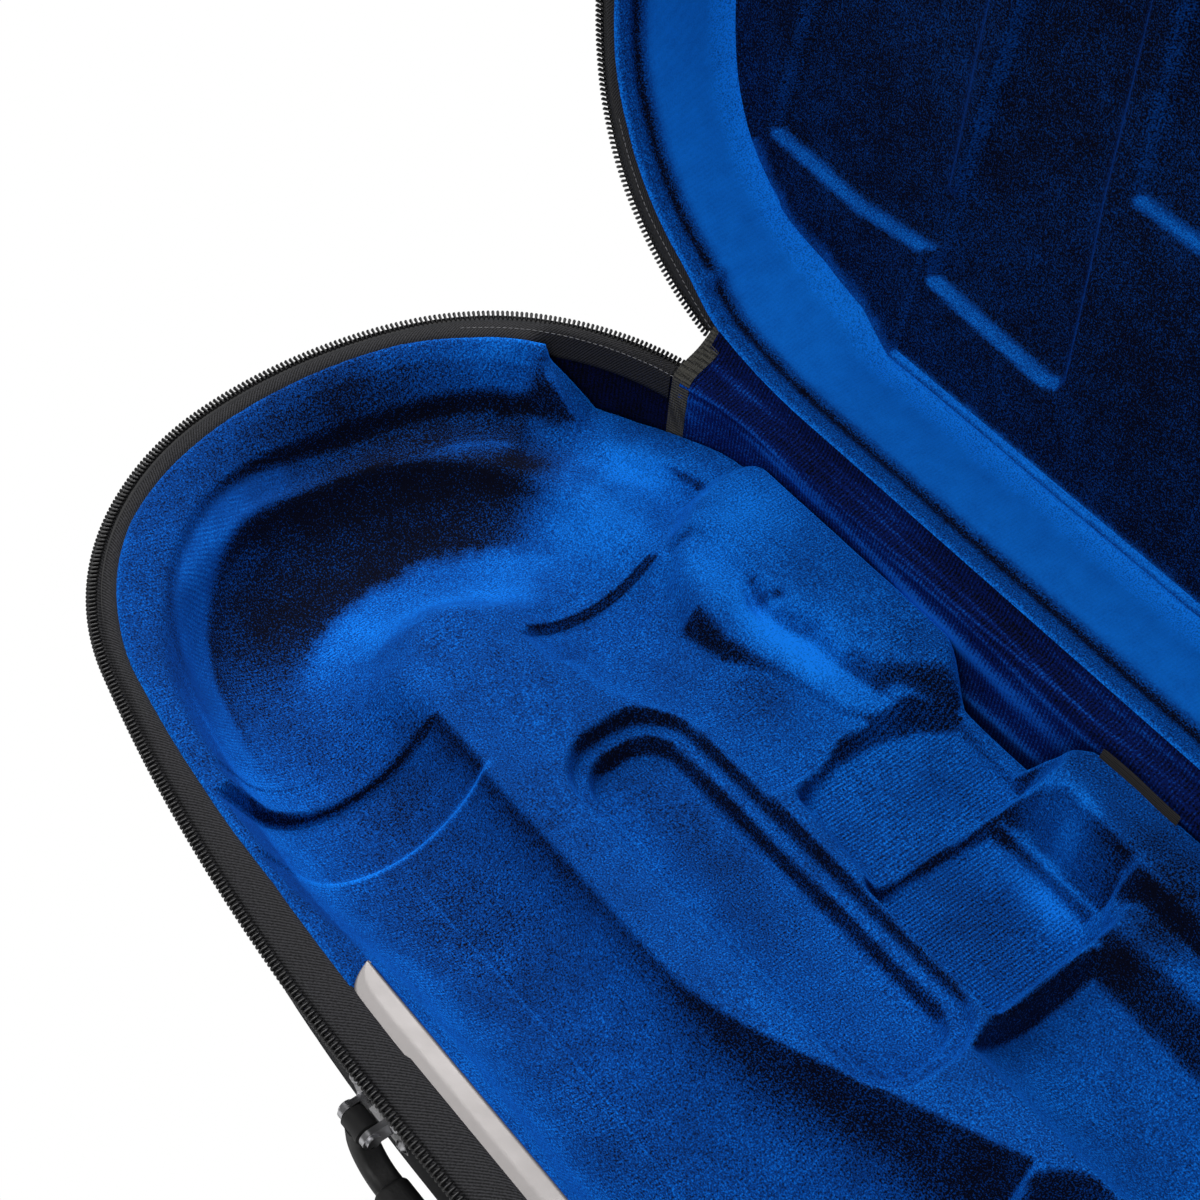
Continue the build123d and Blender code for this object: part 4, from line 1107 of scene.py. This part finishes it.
across = np.linspace(0, 1, gusset["columns"])[None]
along = gussetRuns[:, None]
lift = 0 * along * across
for k, (at, high) in enumerate(gusset["wrinkles"]):
    drift = at + 0.055 * valueNoise(along, 0 * along, 80, 40 + k)
    strength = 0.5 + 0.5 * valueNoise(along, 0 * along, 48, 50 + k)
    lift = lift + high * strength * hump(across - drift, gusset["wrinkleWidth"])
cloth = sweep("hingeGusset", shadedVelour, gussetPoints + gridNormals(gussetPoints) * lift[..., None])
# Painted highlights on the wrinkles' crests, and lighter on the half nearer the tray's wall
napAndPaintedLight = 0.29 + 0.32 * lift + 0.14 * smoothStep(0.56, 0.4, across)
addPile(cloth, np.clip(napAndPaintedLight + 0.08 * valueNoise(along, across * 60, 26, 60), 0, 1), 0.8, 0.9)
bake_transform(cloth)
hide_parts("hinge_gusset")
print("stage: gusset")


# Velour on the tray's wall, seen where the liner's edge lies low, painted dark as shade and a little lighter
# further down
wallLining = {"toX": -288, "top": 120.5, "height": 44.0, "inset": 13.8, "draft": 5.4, "sag": 0.3}
liningRuns = np.arange(foldRun - 14, outline.runAt(wallLining["toX"], 178), 3.0)
depths = np.linspace(0, 1, 14)[None]
liningInset = wallLining["inset"] + wallLining["draft"] * depths
liningInset = liningInset + wallLining["sag"] * valueNoise(liningRuns[:, None], depths * 40, 30, 61)
liningPoints = onOutline(liningRuns, liningInset, wallLining["top"] - wallLining["height"] * depths)
lining = sweep("wallLining", shadedVelour, liningPoints)
# Painted shade, lighter further down the wall
addPile(lining, 0.12 + 0.1 * depths + 0 * liningInset, 0.4, 0.3)
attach(lining, "tray")


# Grosgrain ribbon over each end of the gusset, with its cross ribs
ribbon = {
    "width": 11.0,
    "pitch": 1.5,
    "rib": 0.22,
    "thickness": 1.0,
    "wall": [(21.2, 70.0), (19.6, 88.0), (17.6, 107.0), (16.0, 117.0), (14.4, 122.8), (9.0, 125.0)],
    "fine": 421,
    "step": 0.3,
}


def ribbonPoints(fromX):
    # From low on the tray's wall, over the rim and the tape's end, to the lid's liner. The line is read again
    # in even steps, and the ribs are waves along it that fade at both edges.
    across = np.linspace(outline.runAt(fromX, 177), outline.runAt(fromX + ribbon["width"], 178), 9)
    insets, heights = np.array(ribbon["wall"]).T
    wall = onOutline(across, insets[None], heights[None])
    top = openLid(onOutline(across, lidEdge(across)[:, None] - 0.5, case["closeZ"] + 3.0)[:, 0])
    hang = (wall[:, -1] + top) / 2 + (0, 0.8, -1.6)
    points = throughPoints(np.concatenate([wall, hang[:, None], top[:, None]], axis=1), ribbon["fine"])
    length = np.cumsum(np.linalg.norm(np.diff(points[4], axis=0, prepend=points[4, :1]), axis=1))
    even = np.linspace(0, length[-1], int(length[-1] / ribbon["step"]))
    at = np.interp(even, length, np.arange(ribbon["fine"]))
    low = np.minimum(at.astype(int), ribbon["fine"] - 2)
    points = points[:, low] * (1 - at + low)[:, None] + points[:, low + 1] * (at - low)[:, None]
    fade = np.sin(pi * np.linspace(0.04, 0.96, 9))[:, None] ** 0.3
    ribs = ribbon["rib"] * np.sin(2 * pi * even / ribbon["pitch"])[None] * fade
    return points + gridNormals(points) * (ribs + 0.5)[..., None]


for name, fromX, node in (
    ("hingeBindingBell", -302.0, "hinge_binding_bell"),
    ("hingeBindingNeck", 351.0, "hinge_binding_neck"),
):
    tie = sweep(name, ribbonCloth, thicken(ribbonPoints(fromX), ribbon["thickness"]), closed=True)
    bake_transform(tie)
    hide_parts(node)
print("stage: ribbons")


# Strip of the cover's cloth over the outside of the hinge, sewn to both walls, drawn folded for the open lid
hingeStrip = {
    "fromX": -300,
    "toX": 361,
    "tray": [(9.9, 100.0), (8.6, 112.0), (6.6, 121.0), (3.6, 124.6)],
    "lid": [(6.4, 128.5), (8.6, 137.0), (10.6, 146.0)],
    "thickness": 1.0,
}
stripRuns = np.arange(outline.runAt(hingeStrip["fromX"], 177), outline.runAt(hingeStrip["toX"], 178), 3.0)
trayPart, lidPart = (onOutline(stripRuns, *np.array(hingeStrip[half]).T[:, None]) for half in ("tray", "lid"))
stripPoints = throughPoints(np.concatenate([trayPart, openLid(lidPart)], axis=1), 40)
strip = sweep("hingeStrip", coverCloth, thicken(stripPoints, hingeStrip["thickness"]), closed=True)
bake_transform(strip)
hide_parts("hinge_strip")


# Label tab sewn into the hinge seam: a folded strip that leans back, left bare
tab = {"fromX": -6, "toX": 40, "y": 161.8, "lean": 2.6, "z": 119.5, "height": 6.0, "thickness": 0.9}
tabX = np.linspace(tab["fromX"], tab["toX"], 24)[:, None]
tabUp = np.linspace(0, 1, 10)[None]
tabY = tab["y"] + tab["lean"] * tabUp**1.5 + 0.3 * np.sin(tabX / 7.0)
tabPoints = np.stack([tabX + 0 * tabUp, tabY, tab["z"] + tab["height"] * tabUp + 0 * tabX], axis=-1)
label = sweep("labelTab", labelCloth, thicken(tabPoints, tab["thickness"]), closed=True)
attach(label, "tray")
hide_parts("label_tab")


# Finishes of the pieces kept from the solids
finishes = [
    (coverCloth, ["tray_shell", "lid_shell"]),
    (rimRibbon, ["tray_rim_binding", "lid_rim_binding", "strap_tab_bell", "strap_tab_neck"]),
    (zinc, ["zip_slider", "zip_pull"]),
    (steel, ["handle_bracket_left", "handle_bracket_right", "handle_pin_left", "handle_pin_right",
             "handle_rivets", "strap_ring_bell", "strap_ring_neck", "strap_rivets"]),
    (gripPlastic, ["handle_grip"]),
    (footRubber, ["rear_feet"]),
]
for material, nodeNames in finishes:
    for nodeName in nodeNames:
        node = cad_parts[nodeName]
        node.data.materials.clear()
        node.data.materials.append(material)
print("stage: solids' finishes")


# Camera, lights and floor, in metres. A lamp has its place, the spot that it looks at, its size and power.
studio = {
    "lens": 80.235,
    "camera": (0.414, -0.430, 1.04194),
    "tilt": (40.35, 0, 52.55),
    "floor": 6,
    "paint": "e8e8e8",
    "world": 0.16,
    "lamps": {
        "key": ((-1.5, 1.0, 1.9), (-0.2, 0.0, 0.1), 1.4, 57),
        "top": ((-0.1, -0.3, 2.4), (-0.1, 0.0, 0.1), 1.4, 22),
        "front": ((1.0, -1.5, 1.4), (-0.1, 0.1, 0.15), 1.2, 16),
    },
}


def areaLight(name, location, target, size, power):
    data = bpy.data.lights.new(name, "AREA")
    data.shape = "RECTANGLE"
    data.size = data.size_y = size
    data.energy = power
    item = bpy.data.objects.new(name, data)
    bpy.context.scene.collection.objects.link(item)
    way = Vector(target) - Vector(location)
    item.rotation_euler = way.to_track_quat("-Z", "Y").to_euler()
    item.location = location


cameraData = bpy.data.cameras.new("camera")
cameraData.sensor_width = 36
cameraData.lens = studio["lens"]
cameraData.clip_end = 20
camera = bpy.data.objects.new("camera", cameraData)
camera.location = studio["camera"]
camera.rotation_euler = [radians(angle) for angle in studio["tilt"]]
bpy.context.scene.collection.objects.link(camera)
bpy.context.scene.camera = camera

floorMaterial, floorTree, floorShader = newMaterial("floorPaint")
setInputs(floorShader, {"Base Color": hexColour(studio["paint"]), "Roughness": 0.9})
path = addNode(floorTree, "ShaderNodeLightPath")
white = addNode(floorTree, "ShaderNodeEmission", {"Color": (1, 1, 1, 1), "Strength": 1.0})
shades = {0: path.outputs["Is Camera Ray"], 1: floorShader.outputs[0], 2: white.outputs[0]}
blend = addNode(floorTree, "ShaderNodeMixShader", {}, shades)
floorTree.links.new(blend.outputs[0], floorTree.nodes["Material Output"].inputs[0])
reach = studio["floor"]
corners = [(-reach, -reach, 0), (reach, -reach, 0), (reach, reach, 0), (-reach, reach, 0)]
floor = makeMesh("floor", corners, [(0, 1, 2, 3)], floorMaterial)

world = bpy.data.worlds.new("studio")
world.use_nodes = True
background = world.node_tree.nodes["Background"]
background.inputs[0].default_value = (1, 1, 1, 1)
background.inputs[1].default_value = studio["world"]
bpy.context.scene.world = world
for name, values in studio["lamps"].items():
    areaLight(name, *values)
bpy.context.scene.view_settings.view_transform = "Standard"
print("stage: camera and lights")
